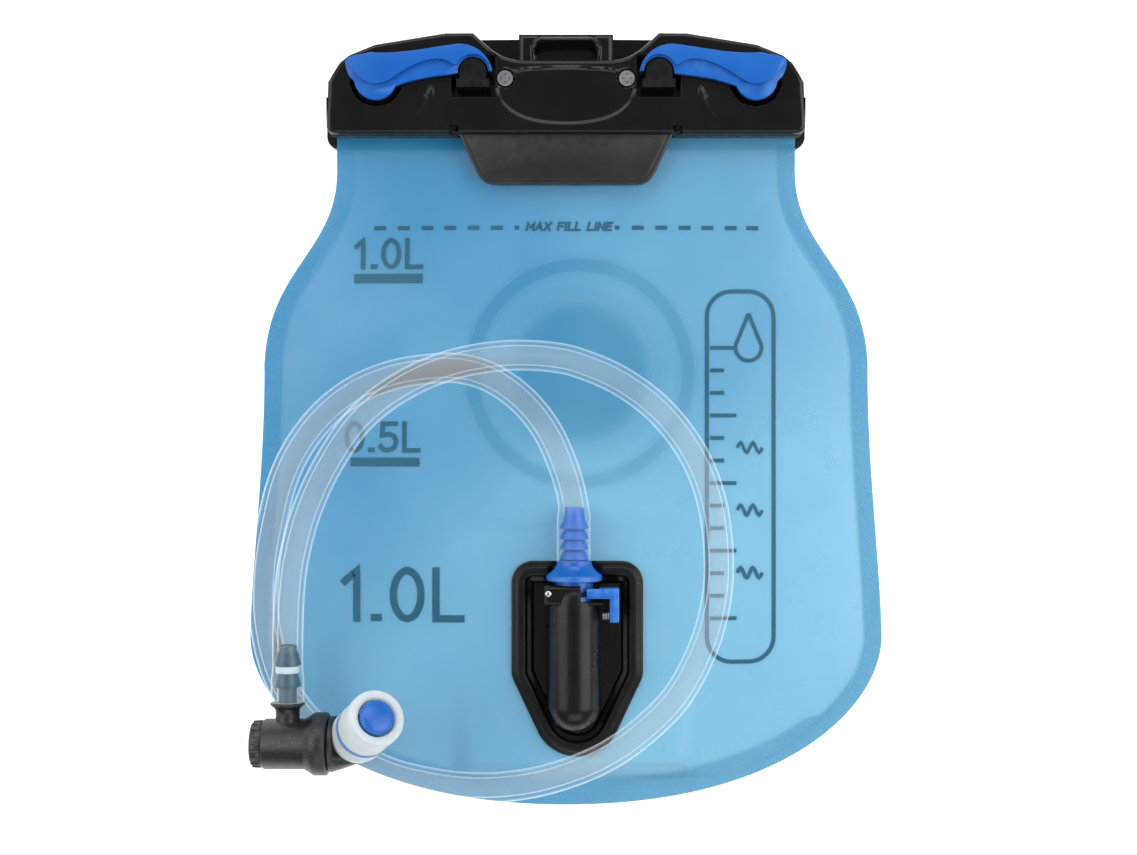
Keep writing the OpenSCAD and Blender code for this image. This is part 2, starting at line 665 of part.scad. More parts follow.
module bite_valve() {
    color([0.82, 0.88, 0.9]) valve_axis() difference() {
        union() {
            translate([0, 0, -1.9]) cylinder(h = valve_len - 0.6, r = valve_r - 0.2);
            translate([0, 0, -1.9]) cylinder(h = 3, r1 = valve_r - 0.4, r2 = valve_r);
            translate([0, 0, valve_len - 6]) cylinder(h = 4, r = valve_r);
        }
        translate([0, 0, -3]) cylinder(h = 7.4, r = 5.82);
        translate([0, 0, 4]) cylinder(h = valve_len, r = 5.6);
        translate([0, 0, 6.6]) rotate_extrude() translate([valve_r, 0]) square([1, 2.2], center = true);
    }
}

module valve_band() {
    color([0.2, 0.4, 0.75]) valve_axis() difference() {
        translate([0, 0, 5.6]) cylinder(h = 2, r = valve_r);
        translate([0, 0, 5]) cylinder(h = 4, r = valve_r - 0.48);
    }
}

module valve_plunger() {
    color([0.03, 0.36, 0.78]) valve_axis() {
        translate([0, 0, valve_len - 4.6]) cylinder(h = 2.4, r = 5.4);
        translate([0, 0, valve_len - 2.3]) cylinder(h = 0.8, r1 = 5.4, r2 = 4.2);
        translate([0, 0, 8]) cylinder(h = valve_len - 12.5, r = 1.6);
    }
}

back_jaw();
jaw_seal();
jaw_hinge_pins();
front_cover();
clamp_frame();
pull_tab();
jaw_screws();
lever_pins();
lever_left();
lever_right();
film_front();
film_back();
port_flange();
valve_housing();
latch_plate();
release_button();
button_spring();
check_poppet();
poppet_spring();
hose_plug();
plug_o_ring();
hose();
elbow_barb();
barb_clip_ring();
elbow_body();
shutoff_knob();
shutoff_rotor();
outlet_collar();
bite_valve();
valve_band();
valve_plunger();
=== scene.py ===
import logging
import math
from dataclasses import dataclass, field
from enum import Enum
from typing import Callable, Sequence

import bpy
import numpy as np
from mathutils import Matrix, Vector, noise


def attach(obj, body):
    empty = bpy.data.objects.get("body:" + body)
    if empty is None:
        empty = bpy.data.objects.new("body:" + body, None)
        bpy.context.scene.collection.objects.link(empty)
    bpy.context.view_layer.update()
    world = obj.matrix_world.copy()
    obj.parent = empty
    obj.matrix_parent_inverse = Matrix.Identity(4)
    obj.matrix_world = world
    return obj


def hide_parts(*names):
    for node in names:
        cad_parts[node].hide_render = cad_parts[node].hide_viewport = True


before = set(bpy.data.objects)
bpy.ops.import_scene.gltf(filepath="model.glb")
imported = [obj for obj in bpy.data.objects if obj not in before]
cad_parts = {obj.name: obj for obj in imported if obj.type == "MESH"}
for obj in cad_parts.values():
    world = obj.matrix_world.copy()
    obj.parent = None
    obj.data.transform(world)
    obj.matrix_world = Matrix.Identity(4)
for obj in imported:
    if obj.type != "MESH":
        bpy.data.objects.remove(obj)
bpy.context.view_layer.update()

log = logging.getLogger("hydration_bladder")
MM = 0.001
Point2 = tuple[float, float]
Rgb = tuple[float, float, float]


# ---------------------------------------------------------------------------------------------
# Curves and meshes
# ---------------------------------------------------------------------------------------------

def bezier(a: Sequence[float], b: Sequence[float], c: Sequence[float], d: Sequence[float],
           count: int, skip: int = 0) -> list[Point2]:
    """Points along a cubic curve.

    Args:
        a, b, c, d: The end points and the two handles between them.
        count: Number of steps along the curve.
        skip: Number of points left out at the start.

    Returns:
        The points as (x, y) pairs.
    """
    pa, pb, pc, pd = (np.array(p, float) for p in (a, b, c, d))
    points = []
    for i in range(skip, count + 1):
        t = i / count
        p = pa * (1 - t) ** 3 + 3 * pb * t * (1 - t) ** 2 + 3 * pc * t * t * (1 - t) + pd * t ** 3
        points.append((float(p[0]), float(p[1])))
    return points


def arc(cx: float, cy: float, r: float, start: float, end: float, count: int) -> list[Point2]:
    """Points on a circular arc, with its angles in degrees."""
    return [(cx + r * math.cos(math.radians(start + (end - start) * i / count)),
             cy + r * math.sin(math.radians(start + (end - start) * i / count))) for i in range(count + 1)]


def mirrored(points: Sequence[Point2]) -> list[Point2]:
    """The points reflected in the plane X = 0, in reverse order so that the winding stays."""
    return [(-x, y) for x, y in reversed(points)]


def ramp(low: float, high: float, value: np.ndarray) -> np.ndarray:
    """Smooth step from 0 at low to 1 at high."""
    t = np.clip((np.asarray(value, float) - low) / (high - low), 0, 1)
    return t * t * (3 - 2 * t)


def wobble(x: np.ndarray, y: np.ndarray, size: float, seed: float) -> np.ndarray:
    """Smooth noise over a plane, between about -1 and 1.

    Args:
        x: First coordinates in millimetres.
        y: Second coordinates in millimetres, of the same shape.
        size: Size of the noise's patches in millimetres.
        seed: Any number; another number gives another pattern.

    Returns:
        The noise values in the shape of x.
    """
    flat = [noise.noise(Vector((a / size, b / size, seed))) for a, b in zip(np.ravel(x), np.ravel(y))]
    return np.array(flat).reshape(np.shape(x))


def make_object(name: str, verts: Sequence[Sequence[float]], faces: Sequence[Sequence[int]],
                sharp_deg: float = 40.0) -> bpy.types.Object:
    """A mesh object from millimetre coordinates, smooth shaded except at sharp edges.

    Args:
        name: Name of the piece.
        verts: Corner points in millimetres.
        faces: Corner indices of each face.
        sharp_deg: Edges that bend by more than this stay sharp.

    Returns:
        The new object, linked to the scene.
    """
    mesh = bpy.data.meshes.new(name)
    mesh.from_pydata([tuple(np.array(v, float) * MM) for v in verts], [], [tuple(f) for f in faces])
    mesh.validate()
    mesh.shade_smooth()
    mesh.set_sharp_from_angle(angle=math.radians(sharp_deg))
    mesh.update()
    obj = bpy.data.objects.new(name, mesh)
    bpy.context.scene.collection.objects.link(obj)
    return obj


def bevelled(obj: bpy.types.Object, width: float, segments: int = 3, angle: float = 35.0) -> bpy.types.Object:
    """Rounds an object's sharp edges with an applied bevel.

    Args:
        obj: The object to round.
        width: Width of the rounding in millimetres.
        segments: Steps across the rounding.
        angle: Edges sharper than this, in degrees, are rounded.

    Returns:
        The same object.
    """
    modifier = obj.modifiers.new("round", "BEVEL")
    modifier.width = width * MM
    modifier.segments = segments
    modifier.limit_method = "ANGLE"
    modifier.angle_limit = math.radians(angle)
    modifier.harden_normals = False
    bake_modifiers(obj)
    obj.data.shade_smooth()
    obj.data.set_sharp_from_angle(angle=math.radians(50))
    return obj


def bake_modifiers(obj: bpy.types.Object) -> None:
    """Applies every modifier of an object to its mesh.

    Args:
        obj: The object whose modifiers are applied.
    """
    graph = bpy.context.evaluated_depsgraph_get()
    mesh = bpy.data.meshes.new_from_object(obj.evaluated_get(graph))
    obj.modifiers.clear()
    obj.data = mesh


def joined(name: str, objects: Sequence[bpy.types.Object]) -> bpy.types.Object:
    """Puts several meshes into one object that keeps the first one's material.

    Args:
        name: Name of the new piece.
        objects: The pieces, which are removed.

    Returns:
        The new object.
    """
    verts: list = []
    faces: list = []
    for obj in objects:
        base = len(verts)
        verts += [obj.matrix_world @ v.co / MM for v in obj.data.vertices]
        faces += [[base + i for i in p.vertices] for p in obj.data.polygons]
    for obj in objects:
        bpy.data.objects.remove(obj)
    return make_object(name, verts, faces, 45.0)


def prism(name: str, outline: Sequence[Point2], low: float, high: float, rounding: float,
          segments: int = 3) -> bpy.types.Object:
    """An upright solid with rounded edges.

    Args:
        name: Name of the piece.
        outline: Counter-clockwise outline in millimetres.
        low: Height of its underside.
        high: Height of its top.
        rounding: Width of the rounded edges.
        segments: Steps across the rounding.

    Returns:
        The new object.
    """
    n = len(outline)
    verts = [(x, y, low) for x, y in outline] + [(x, y, high) for x, y in outline]
    faces = [list(range(n - 1, -1, -1)), list(range(n, 2 * n))]
    faces += [[i, (i + 1) % n, n + (i + 1) % n, n + i] for i in range(n)]
    return bevelled(make_object(name, verts, faces), rounding, segments)


def lathe(name: str, profile: Sequence[Point2], origin: Sequence[float], axis: Sequence[float],
          sides: int = 64, sharp_deg: float = 40.0) -> bpy.types.Object:
    """A turned piece.

    Args:
        name: Name of the piece.
        profile: (radius, distance along the axis) pairs; a closed loop, or ends on the axis.
        origin: Point where the distance along the axis is zero.
        axis: Direction of the axis.
        sides: Number of steps round the axis.
        sharp_deg: Edges that bend by more than this stay sharp.

    Returns:
        The new object.
    """
    along = Vector(axis).normalized()
    side = along.orthogonal().normalized()
    up = along.cross(side)
    start = Vector(origin)
    rings = []
    verts: list = []
    for radius, distance in profile:
        centre = start + along * distance
        if radius < 1e-6:
            rings.append([len(verts)])
            verts.append(centre)
            continue
        rings.append(list(range(len(verts), len(verts) + sides)))
        for k in range(sides):
            a = 2 * math.pi * k / sides
            verts.append(centre + (side * math.cos(a) + up * math.sin(a)) * radius)
    closed = len(rings[0]) > 1
    pairs = list(zip(rings, rings[1:])) + ([(rings[-1], rings[0])] if closed else [])
    faces = []
    for low, high in pairs:
        for k in range(sides):
            k2 = (k + 1) % sides
            if len(low) == 1:
                faces.append([low[0], high[k2], high[k]])
            elif len(high) == 1:
                faces.append([low[k], low[k2], high[0]])
            else:
                faces.append([low[k], low[k2], high[k2], high[k]])
    return make_object(name, verts, faces, sharp_deg)


def relief(name: str, x: np.ndarray, y: np.ndarray, top: np.ndarray, bottom: np.ndarray,
           keep: np.ndarray, sharp_deg: float = 50.0) -> bpy.types.Object:
    """A closed solid between two height fields on one grid.

    Args:
        name: Name of the piece.
        x, y: Grid positions in millimetres, both of one shape.
        top: Heights of the upper surface.
        bottom: Heights of the lower surface.
        keep: One flag per grid cell; a cell that isn't kept is a hole through the piece.
        sharp_deg: Edges that bend by more than this stay sharp.

    Returns:
        The new object.
    """
    rows, cols = x.shape
    index = np.arange(rows * cols).reshape(rows, cols)
    total = rows * cols
    verts = np.concatenate([np.stack([x, y, top], -1).reshape(-1, 3), np.stack([x, y, bottom],
        -1).reshape(-1, 3)])
    faces = []
    for i in range(rows - 1):
        for j in range(cols - 1):
            if not keep[i, j]:
                continue
            a, b, c, d = index[i, j], index[i, j + 1], index[i + 1, j + 1], index[i + 1, j]
            faces.append([a, b, c, d])
            faces.append([total + a, total + d, total + c, total + b])
            if i == 0 or not keep[i - 1, j]:
                faces.append([a, total + a, total + b, b])
            if j == cols - 2 or not keep[i, j + 1]:
                faces.append([b, total + b, total + c, c])
            if i == rows - 2 or not keep[i + 1, j]:
                faces.append([c, total + c, total + d, d])
            if j == 0 or not keep[i, j - 1]:
                faces.append([d, total + d, total + a, a])
    used = np.unique(np.array(faces))
    remap = -np.ones(2 * total, int)
    remap[used] = np.arange(len(used))
    return make_object(name, verts[used], remap[np.array(faces)], sharp_deg)


def tube(name: str, centres: np.ndarray, outer: np.ndarray, bore: float, sides: int = 32) -> bpy.types.Object:
    """A hollow tube along a route.

    Args:
        name: Name of the piece.
        centres: Centres of its rings in millimetres.
        outer: Outer radius at each ring.
        bore: Radius of the bore.
        sides: Number of sides.

    Returns:
        The new object.
    """
    count = len(centres)
    tangents = np.gradient(centres, axis=0)
    tangents /= np.linalg.norm(tangents, axis=1)[:, None]
    side = np.cross(tangents, [0, 0, 1.0])
    side /= np.linalg.norm(side, axis=1)[:, None]
    up = np.cross(side, tangents)
    angles = np.arange(sides) * 2 * math.pi / sides
    spread = side[:, None, :] * np.cos(angles)[None, :, None] + up[:, None, :] * np.sin(angles)[None, :, None]
    skin = centres[:, None, :] + spread * outer[:, None, None]
    inner = centres[:, None, :] + spread * bore
    verts = np.concatenate([skin.reshape(-1, 3), inner.reshape(-1, 3)])
    base = count * sides
    faces = []
    for i in range(count - 1):
        for k in range(sides):
            a, b = i * sides + k, i * sides + (k + 1) % sides
            c, d = a + sides, b + sides
            faces += [[a, b, d, c], [base + a, base + c, base + d, base + b]]
    last = (count - 1) * sides
    for k in range(sides):
        k2 = (k + 1) % sides
        faces += [[k, base + k, base + k2, k2], [last + k, last + k2, base + last + k2, base + last + k]]
    return make_object(name, verts, faces, 60.0)


def rounded_loop(circles: Sequence[tuple[float, float, float]], grow: float, steps: int = 96,
                 spacing: float = 1.5) -> list[Point2]:
    """The outline round a group of circles, grown or shrunk.

    Args:
        circles: (x, y, radius) of each circle.
        grow: Distance by which the outline is moved out, or in when negative.
        steps: Number of directions sampled.
        spacing: Longest gap between two points of the outline that isn't moved.

    Returns:
        A counter-clockwise loop; two loops of one group with other values of grow have matching points.
    """
    def support(angle: float, extra: float) -> Point2:
        """Furthest point of the group in one direction.

        Args:
            angle: The direction.
            extra: Distance by which every circle is grown.

        Returns:
            The point.
        """
        nx, ny = math.cos(angle), math.sin(angle)
        best = max(circles, key=lambda c: c[0] * nx + c[1] * ny + c[2])
        return best[0] + (best[2] + extra) * nx, best[1] + (best[2] + extra) * ny
    angles = [2 * math.pi * i / steps for i in range(steps)]
    loop: list[Point2] = []
    for i, angle in enumerate(angles):
        here, after = support(angle, 0), support(angles[(i + 1) % steps], 0)
        parts = max(1, math.ceil(math.dist(here, after) / spacing))
        a, b = support(angle, grow), support(angles[(i + 1) % steps], grow)
        loop += [(a[0] + (b[0] - a[0]) * k / parts, a[1] + (b[1] - a[1]) * k / parts) for k in range(parts)]
    return loop


# ---------------------------------------------------------------------------------------------
# Finishes
# ---------------------------------------------------------------------------------------------

def srgb(code: str) -> Rgb:
    """Linear colour of a six-digit hex code."""
    values = [int(code[i:i + 2], 16) / 255 for i in (0, 2, 4)]
    return tuple(v / 12.92 if v <= 0.04045 else ((v + 0.055) / 1.055) ** 2.4 for v in values)


class Kind(Enum):
    """Kinds of socket on a shader node group."""

    COLOR = "NodeSocketColor"
    VALUE = "NodeSocketFloat"
    VECTOR = "NodeSocketVector"


class Wiring:
    """Adds and links the nodes of one material or node group."""

    def __init__(self, tree: bpy.types.NodeTree) -> None:
        """Starts with an empty tree."""
        self.tree = tree
        tree.nodes.clear()

    def add(self, kind: str, values: dict | None = None, **settings: object) -> bpy.types.Node:
        """Adds a node.

        Args:
            kind: Class name of the node.
            values: Input values or sockets, by the input's name or index.
            settings: Properties of the node.

        Returns:
            The new node.
        """
        node = self.tree.nodes.new(kind)
        for key, value in settings.items():
            setattr(node, key, value)
        for key, value in (values or {}).items():
            if isinstance(value, bpy.types.NodeSocket):
                self.tree.links.new(value, node.inputs[key])
            else:
                node.inputs[key].default_value = value
        return node

    def mix(self, factor: object, a: object, b: object) -> bpy.types.NodeSocket:
        """Mixes two colours; each argument is a value or a socket.

        Args:
            factor: Share of the second colour.
            a: First colour.
            b: Second colour.

        Returns:
            The mixed colour.
        """
        node = self.add("ShaderNodeMix", data_type="RGBA")
        for index, value in ((0, factor), (6, a), (7, b)):
            if isinstance(value, bpy.types.NodeSocket):
                self.tree.links.new(value, node.inputs[index])
            else:
                node.inputs[index].default_value = value if index == 0 else (*value[:3], 1)
        return node.outputs[2]

    def maths(self, operation: str, a: object, b: object = 0.0) -> bpy.types.NodeSocket:
        """One step of arithmetic on two values or sockets."""
        return self.add("ShaderNodeMath", {0: a, 1: b}, operation=operation).outputs[0]

    def remap(self, value: object, low: float, high: float, new_low: object,
              new_high: object) -> bpy.types.NodeSocket:
        """Maps a value from one range to another, clamped at the ends."""
        node = self.add("ShaderNodeMapRange", {0: value, 1: low, 2: high, 3: new_low, 4: new_high})
        return node.outputs[0]


@dataclass(frozen=True)
class Effect:
    """A shader node group that several finishes share."""

    name: str
    inputs: tuple[tuple[str, Kind, object], ...]
    outputs: tuple[tuple[str, Kind], ...]
    fill: Callable[[Wiring, bpy.types.Node, bpy.types.Node], None]

    def group(self) -> bpy.types.NodeTree:
        """The node group, built on its first use.

        Returns:
            The node group.
        """
        tree = bpy.data.node_groups.get(self.name)
        if tree:
            return tree
        tree = bpy.data.node_groups.new(self.name, "ShaderNodeTree")
        for name, kind, value in self.inputs:
            socket = tree.interface.new_socket(name, in_out="INPUT", socket_type=kind.value)
            socket.default_value = value
        for name, kind in self.outputs:
            tree.interface.new_socket(name, in_out="OUTPUT", socket_type=kind.value)
        wiring = Wiring(tree)
        self.fill(wiring, wiring.add("NodeGroupInput"), wiring.add("NodeGroupOutput"))
        return tree

    def place(self, wiring: Wiring, values: dict) -> bpy.types.Node:
        """Puts the group into a material with its own values.

        Args:
            wiring: The material that it goes into.
            values: Input values or sockets, by name.

        Returns:
            The group's node.
        """
        node = wiring.add("ShaderNodeGroup", node_tree=self.group())
        for key, value in values.items():
            if isinstance(value, bpy.types.NodeSocket):
                wiring.tree.links.new(value, node.inputs[key])
            else:
                node.inputs[key].default_value = value
        return node


def fill_grain(w: Wiring, source: bpy.types.Node, sink: bpy.types.Node) -> None:
    """Fine moulded texture with slow waves under it.

    Args:
        w: The node group.
        source: Its input node.
        sink: Its output node.
    """
    where = w.add("ShaderNodeTexCoord").outputs["Object"]
    fine = w.add("ShaderNodeTexNoise", {"Vector": where, "Scale": source.outputs["Grain per metre"],
        "Detail": 3.0})
    slow_scale = w.maths("MULTIPLY", source.outputs["Grain per metre"], 0.06)
    slow = w.add("ShaderNodeTexNoise", {"Vector": where, "Scale": slow_scale, "Detail": 2.0})
    height = w.maths("ADD", w.maths("MULTIPLY", fine.outputs[0], 0.35), slow.outputs[0])
    bump = w.add("ShaderNodeBump", {"Height": height, "Strength": source.outputs["Strength"],
        "Distance": 0.0002})
    w.tree.links.new(bump.outputs[0], sink.inputs["Normal"])


def fill_tone(w: Wiring, source: bpy.types.Node, sink: bpy.types.Node) -> None:
    """Slow drift between two colours.

    Args:
        w: The node group.
        source: Its input node.
        sink: Its output node.
    """
    where = w.add("ShaderNodeTexCoord").outputs["Object"]
    patches = w.add("ShaderNodeTexNoise", {"Vector": where, "Scale": source.outputs["Patches per metre"],
        "Detail": 4.0})
    factor = w.remap(patches.outputs[0], 0.35, 0.65, 0.0, 1.0)
    w.tree.links.new(w.mix(factor, source.outputs["Colour"], source.outputs["Other colour"]),
        sink.inputs["Colour"])


def fill_handling(w: Wiring, source: bpy.types.Node, sink: bpy.types.Node) -> None:
    """Roughness that varies with smudges and with faint crossed scratches.

    Args:
        w: The node group.
        source: Its input node.
        sink: Its output node.
    """
    where = w.add("ShaderNodeTexCoord").outputs["Object"]
    smudge = w.add("ShaderNodeTexNoise", {"Vector": where, "Scale": 90.0, "Detail": 5.0, "Roughness": 0.6})
    base = w.remap(smudge.outputs[0], 0.3, 0.7, source.outputs["Smooth"], source.outputs["Rough"])
    scratches = None
    for turn in (0.4, 1.9):
        mapping = w.add("ShaderNodeMapping", {"Vector": where, "Rotation": (0.0, 0.0, turn),
            "Scale": (1.0, 26.0, 1.0)})
        lines = w.add("ShaderNodeTexNoise", {"Vector": mapping.outputs[0], "Scale": 140.0, "Detail": 2.0})
        mask = w.remap(lines.outputs[0], 0.66, 0.74, 0.0, 1.0)
        scratches = mask if scratches is None else w.maths("MAXIMUM", scratches, mask)
    worn = w.maths("MULTIPLY", scratches, source.outputs["Scratches"])
    w.tree.links.new(w.maths("ADD", base, worn), sink.inputs["Roughness"])


def fill_wear(w: Wiring, source: bpy.types.Node, sink: bpy.types.Node) -> None:
    """Mask of corners rubbed in use.

    Args:
        w: The node group.
        source: Its input node.
        sink: Its output node.
    """
    where = w.add("ShaderNodeTexCoord").outputs["Object"]
    corner = w.remap(w.add("ShaderNodeNewGeometry").outputs["Pointiness"], 0.52, 0.62, 0.0, 1.0)
    broken = w.add("ShaderNodeTexNoise", {"Vector": where, "Scale": 400.0, "Detail": 3.0})
    patchy = w.maths("MULTIPLY", corner, w.remap(broken.outputs[0], 0.35, 0.6, 0.25, 1.0))
    w.tree.links.new(w.maths("MULTIPLY", patchy, source.outputs["Amount"]), sink.inputs["Mask"])


def fill_flecks(w: Wiring, source: bpy.types.Node, sink: bpy.types.Node) -> None:
    """Mask of tiny bright flecks, such as a spark-eroded mould leaves.

    Args:
        w: The node group.
        source: Its input node.
        sink: Its output node.
    """
    where = w.add("ShaderNodeTexCoord").outputs["Object"]
    cells = w.add("ShaderNodeTexVoronoi", {"Vector": where, "Scale": source.outputs["Flecks per metre"]})
    dot = w.remap(cells.outputs["Distance"], 0.12, 0.3, 1.0, 0.0)
    pick = w.remap(w.add("ShaderNodeSeparateColor", {0: cells.outputs["Color"]}).outputs[0], 0.5, 0.9, 0.0,
        1.0)
    w.tree.links.new(w.maths("MULTIPLY", dot, pick), sink.inputs["Mask"])


GRAIN = Effect("Moulded grain", (("Grain per metre", Kind.VALUE, 2500.0), ("Strength", Kind.VALUE, 0.1)),
               (("Normal", Kind.VECTOR),), fill_grain)
TONE = Effect("Tone drift", (("Colour", Kind.COLOR, (1, 1, 1, 1)), ("Other colour", Kind.COLOR, (1, 1, 1, 1)),
                             ("Patches per metre", Kind.VALUE, 40.0)), (("Colour", Kind.COLOR),), fill_tone)
HANDLING = Effect("Handling marks", (("Smooth", Kind.VALUE, 0.2), ("Rough", Kind.VALUE, 0.3),
                                     ("Scratches", Kind.VALUE, 0.1)), (("Roughness", Kind.VALUE),),
                                     fill_handling)
WEAR = Effect("Corner wear", (("Amount", Kind.VALUE, 0.3),), (("Mask", Kind.VALUE),), fill_wear)
FLECKS = Effect("Mould flecks", (("Flecks per metre", Kind.VALUE, 2200.0),), (("Mask", Kind.VALUE),),
    fill_flecks)


class Surface:
    """Anything that can build one material and give it to pieces."""

    def build(self) -> bpy.types.Material:
        """The material, built on its first use."""
        raise NotImplementedError

    def dress(self, *objects: bpy.types.Object) -> None:
        """Gives the finish to pieces, in every material slot.

        Args:
            objects: The pieces, CAD nodes among them.
        """
        material = self.build()
        for obj in objects:
            if not obj.data.materials:
                obj.data.materials.append(material)
            for i in range(len(obj.data.materials)):
                obj.data.materials[i] = material


@dataclass(frozen=True)
class Finish(Surface):
    """A solid surface: its colours, gloss, grain and wear."""

    name: str
    colour: str
    other_colour: str
    smooth: float
    rough: float
    grain: float = 2500.0
    grain_strength: float = 0.1
    worn_colour: str = "6a6d70"
    wear: float = 0.2
    scratches: float = 0.08
    metallic: float = 0.0
    flecks: float = 0.0
    transmission: float = 0.0
    subsurface: float = 0.0
    ior: float = 1.5

    def build(self) -> bpy.types.Material:
        """The material, built on its first use.

        Returns:
            The material.
        """
        material = bpy.data.materials.get(self.name)
        if material:
            return material
        material = bpy.data.materials.new(self.name)
        material.use_nodes = True
        w = Wiring(material.node_tree)
        surface = w.add("ShaderNodeBsdfPrincipled", {
            "Metallic": self.metallic, "IOR": self.ior, "Transmission Weight": self.transmission,
            "Subsurface Weight": self.subsurface, "Subsurface Radius": (0.004, 0.005, 0.006),
            "Subsurface Scale": 1.0})
        tone = TONE.place(w, {"Colour": (*srgb(self.colour), 1), "Other colour": (*srgb(self.other_colour),
            1)})
        colour = tone.outputs["Colour"]
        if self.wear:
            worn = WEAR.place(w, {"Amount": self.wear})
            colour = w.mix(worn.outputs["Mask"], colour, srgb(self.worn_colour))
        if self.flecks:
            spots = FLECKS.place(w, {})
            amount = w.maths("MULTIPLY", spots.outputs["Mask"], self.flecks)
            colour = w.mix(amount, colour, srgb("c8d4dc"))
        marks = HANDLING.place(w, {"Smooth": self.smooth, "Rough": self.rough, "Scratches": self.scratches})
        grain = GRAIN.place(w, {"Grain per metre": self.grain, "Strength": self.grain_strength})
        w.tree.links.new(colour, surface.inputs["Base Color"])
        w.tree.links.new(marks.outputs["Roughness"], surface.inputs["Roughness"])
        w.tree.links.new(grain.outputs["Normal"], surface.inputs["Normal"])
        w.tree.links.new(surface.outputs[0], w.add("ShaderNodeOutputMaterial").inputs["Surface"])
        return material


@dataclass(frozen=True)
class FilmFinish(Surface):
    """Translucent film with a welded edge, painted shade towards the upper left and painted light towards the
    lower right, and, on the back panel, a soft round print.
    """

    name: str
    # colour is the film's painted lit side, paler towards the lower right; the next colour is its painted
    # shade towards the upper left.
    colour: str
    painted_shade_colour: str
    weld_colour: str
    alpha: float
    weld_alpha: float
    print_centre: tuple[float, float, float] | None = None
    print_colour: str = "2f86b8"

    def build(self) -> bpy.types.Material:
        """The material, built on its first use.

        Returns:
            The material.
        """
        material = bpy.data.materials.get(self.name)
        if material:
            return material
        material = bpy.data.materials.new(self.name)
        material.use_nodes = True
        w = Wiring(material.node_tree)
        where = w.add("ShaderNodeTexCoord").outputs["Object"]
        axes = w.add("ShaderNodeSeparateXYZ", {0: where})
        # Painted light and shade: the colour runs from the painted shade at the upper left to the paler lit
        # colour at the lower right, with random patches mixed in.
        across = w.remap(axes.outputs[0], -0.1, 0.09, 0.0, 0.5)
        down = w.remap(axes.outputs[1], 0.09, -0.09, 0.0, 0.5)
        patches = w.add("ShaderNodeTexNoise", {"Vector": where, "Scale": 11.0, "Detail": 3.0}).outputs[0]
        pale = w.maths("ADD", w.maths("ADD", across, down), w.remap(patches, 0.3, 0.7, -0.18, 0.18))
        tone = w.mix(w.remap(pale, 0.15, 0.85, 0.0, 1.0), srgb(self.painted_shade_colour), srgb(self.colour))
        rim = w.add("ShaderNodeAttribute", attribute_name="edge_mm").outputs["Fac"]
        weld = w.remap(rim, 5.2, 6.4, 1.0, 0.0)
        colour = w.mix(w.maths("MULTIPLY", weld, 0.55), tone, srgb(self.weld_colour))
        alpha = w.remap(weld, 0.0, 1.0, self.alpha, self.weld_alpha)
        if self.print_centre:
            shift = w.add("ShaderNodeVectorMath", {0: where, 1: self.print_centre}, operation="DISTANCE")
            reach = shift.outputs["Value"]
            disc = w.remap(reach, 0.018, 0.029, 0.95, 0.0)
            ring = w.maths("MULTIPLY", w.remap(reach, 0.0305, 0.0335, 0.0, 0.7),
                w.remap(reach, 0.0365, 0.0395, 1.0, 0.0))
            ink = w.maths("MAXIMUM", disc, ring)
            colour = w.mix(ink, colour, srgb(self.print_colour))
            alpha = w.maths("MAXIMUM", alpha, w.maths("MULTIPLY", ink, 1.1))
        marks = HANDLING.place(w, {"Smooth": 0.24, "Rough": 0.4, "Scratches": 0.05})
        dots = w.add("ShaderNodeTexVoronoi", {"Vector": where, "Scale": 900.0})
        stamped = w.maths("MULTIPLY", weld, w.remap(dots.outputs["Distance"], 0.1, 0.5, 0.0, 1.0))
        ripple = w.add("ShaderNodeTexNoise", {"Vector": where, "Scale": 34.0, "Detail": 5.0,
            "Roughness": 0.55})
        height = w.maths("ADD", w.maths("MULTIPLY", stamped, 0.5), w.maths("MULTIPLY", ripple.outputs[0],
            1.4))
        bump = w.add("ShaderNodeBump", {"Height": height, "Strength": 0.5, "Distance": 0.0008})
        surface = w.add("ShaderNodeBsdfPrincipled", {
            "Base Color": colour, "Roughness": marks.outputs["Roughness"], "Normal": bump.outputs[0],
            "Alpha": alpha, "IOR": 1.48})
        w.tree.links.new(surface.outputs[0], w.add("ShaderNodeOutputMaterial").inputs["Surface"])
        return material


GLOSS_BLACK = Finish("gloss black", "090909", "0e0e0f", 0.1, 0.24, 900, 0.03, "3a3b3d", 0.35, 0.1, ior=1.38)
SATIN_GREY = Finish("satin charcoal", "171718", "1d1d1e", 0.3, 0.42, 2800, 0.08, "8a8c8e", 0.45)
PORT_BLACK = Finish("port black", "080809", "0c0c0d", 0.24, 0.36, 2200, 0.05, "45484b", 0.35, ior=1.36)
LEVER_BLUE = Finish("lever blue", "0056ac", "025cb4", 0.26, 0.38, 2400, 0.06, "5f9ae0", 0.35)
PLUG_BLUE = Finish("plug blue", "0055ac", "025eb8", 0.24, 0.36, 2400, 0.06, "6ba6ea", 0.35)
SEAL_GREY = Finish("seal grey", "74797d", "80868a", 0.55, 0.7, 1800, 0.15, "9aa0a4", 0.1)
STEEL = Finish("brushed steel", "a9acb0", "b8bbbf", 0.2, 0.36, 3000, 0.1, "d5d7da", 0.3, 0.2, metallic=1.0)
POPPET_WHITE = Finish("poppet white", "dcdcd8", "e6e6e2", 0.35, 0.5, 2000, 0.05, "f2f2f0", 0.1)
RING_RUBBER = Finish("ring rubber", "121212", "1b1b1b", 0.45, 0.6, 2200, 0.1, "333333", 0.1)
BARB_TEAL = Finish("barb teal", "073f52", "0c4c62", 0.3, 0.45, 2200, 0.05, "3c7480", 0.3)
CLIP_PALE = Finish("clip pale", "a9c6cf", "b8d2da", 0.3, 0.45, 2200, 0.05, "dde8ec", 0.2)
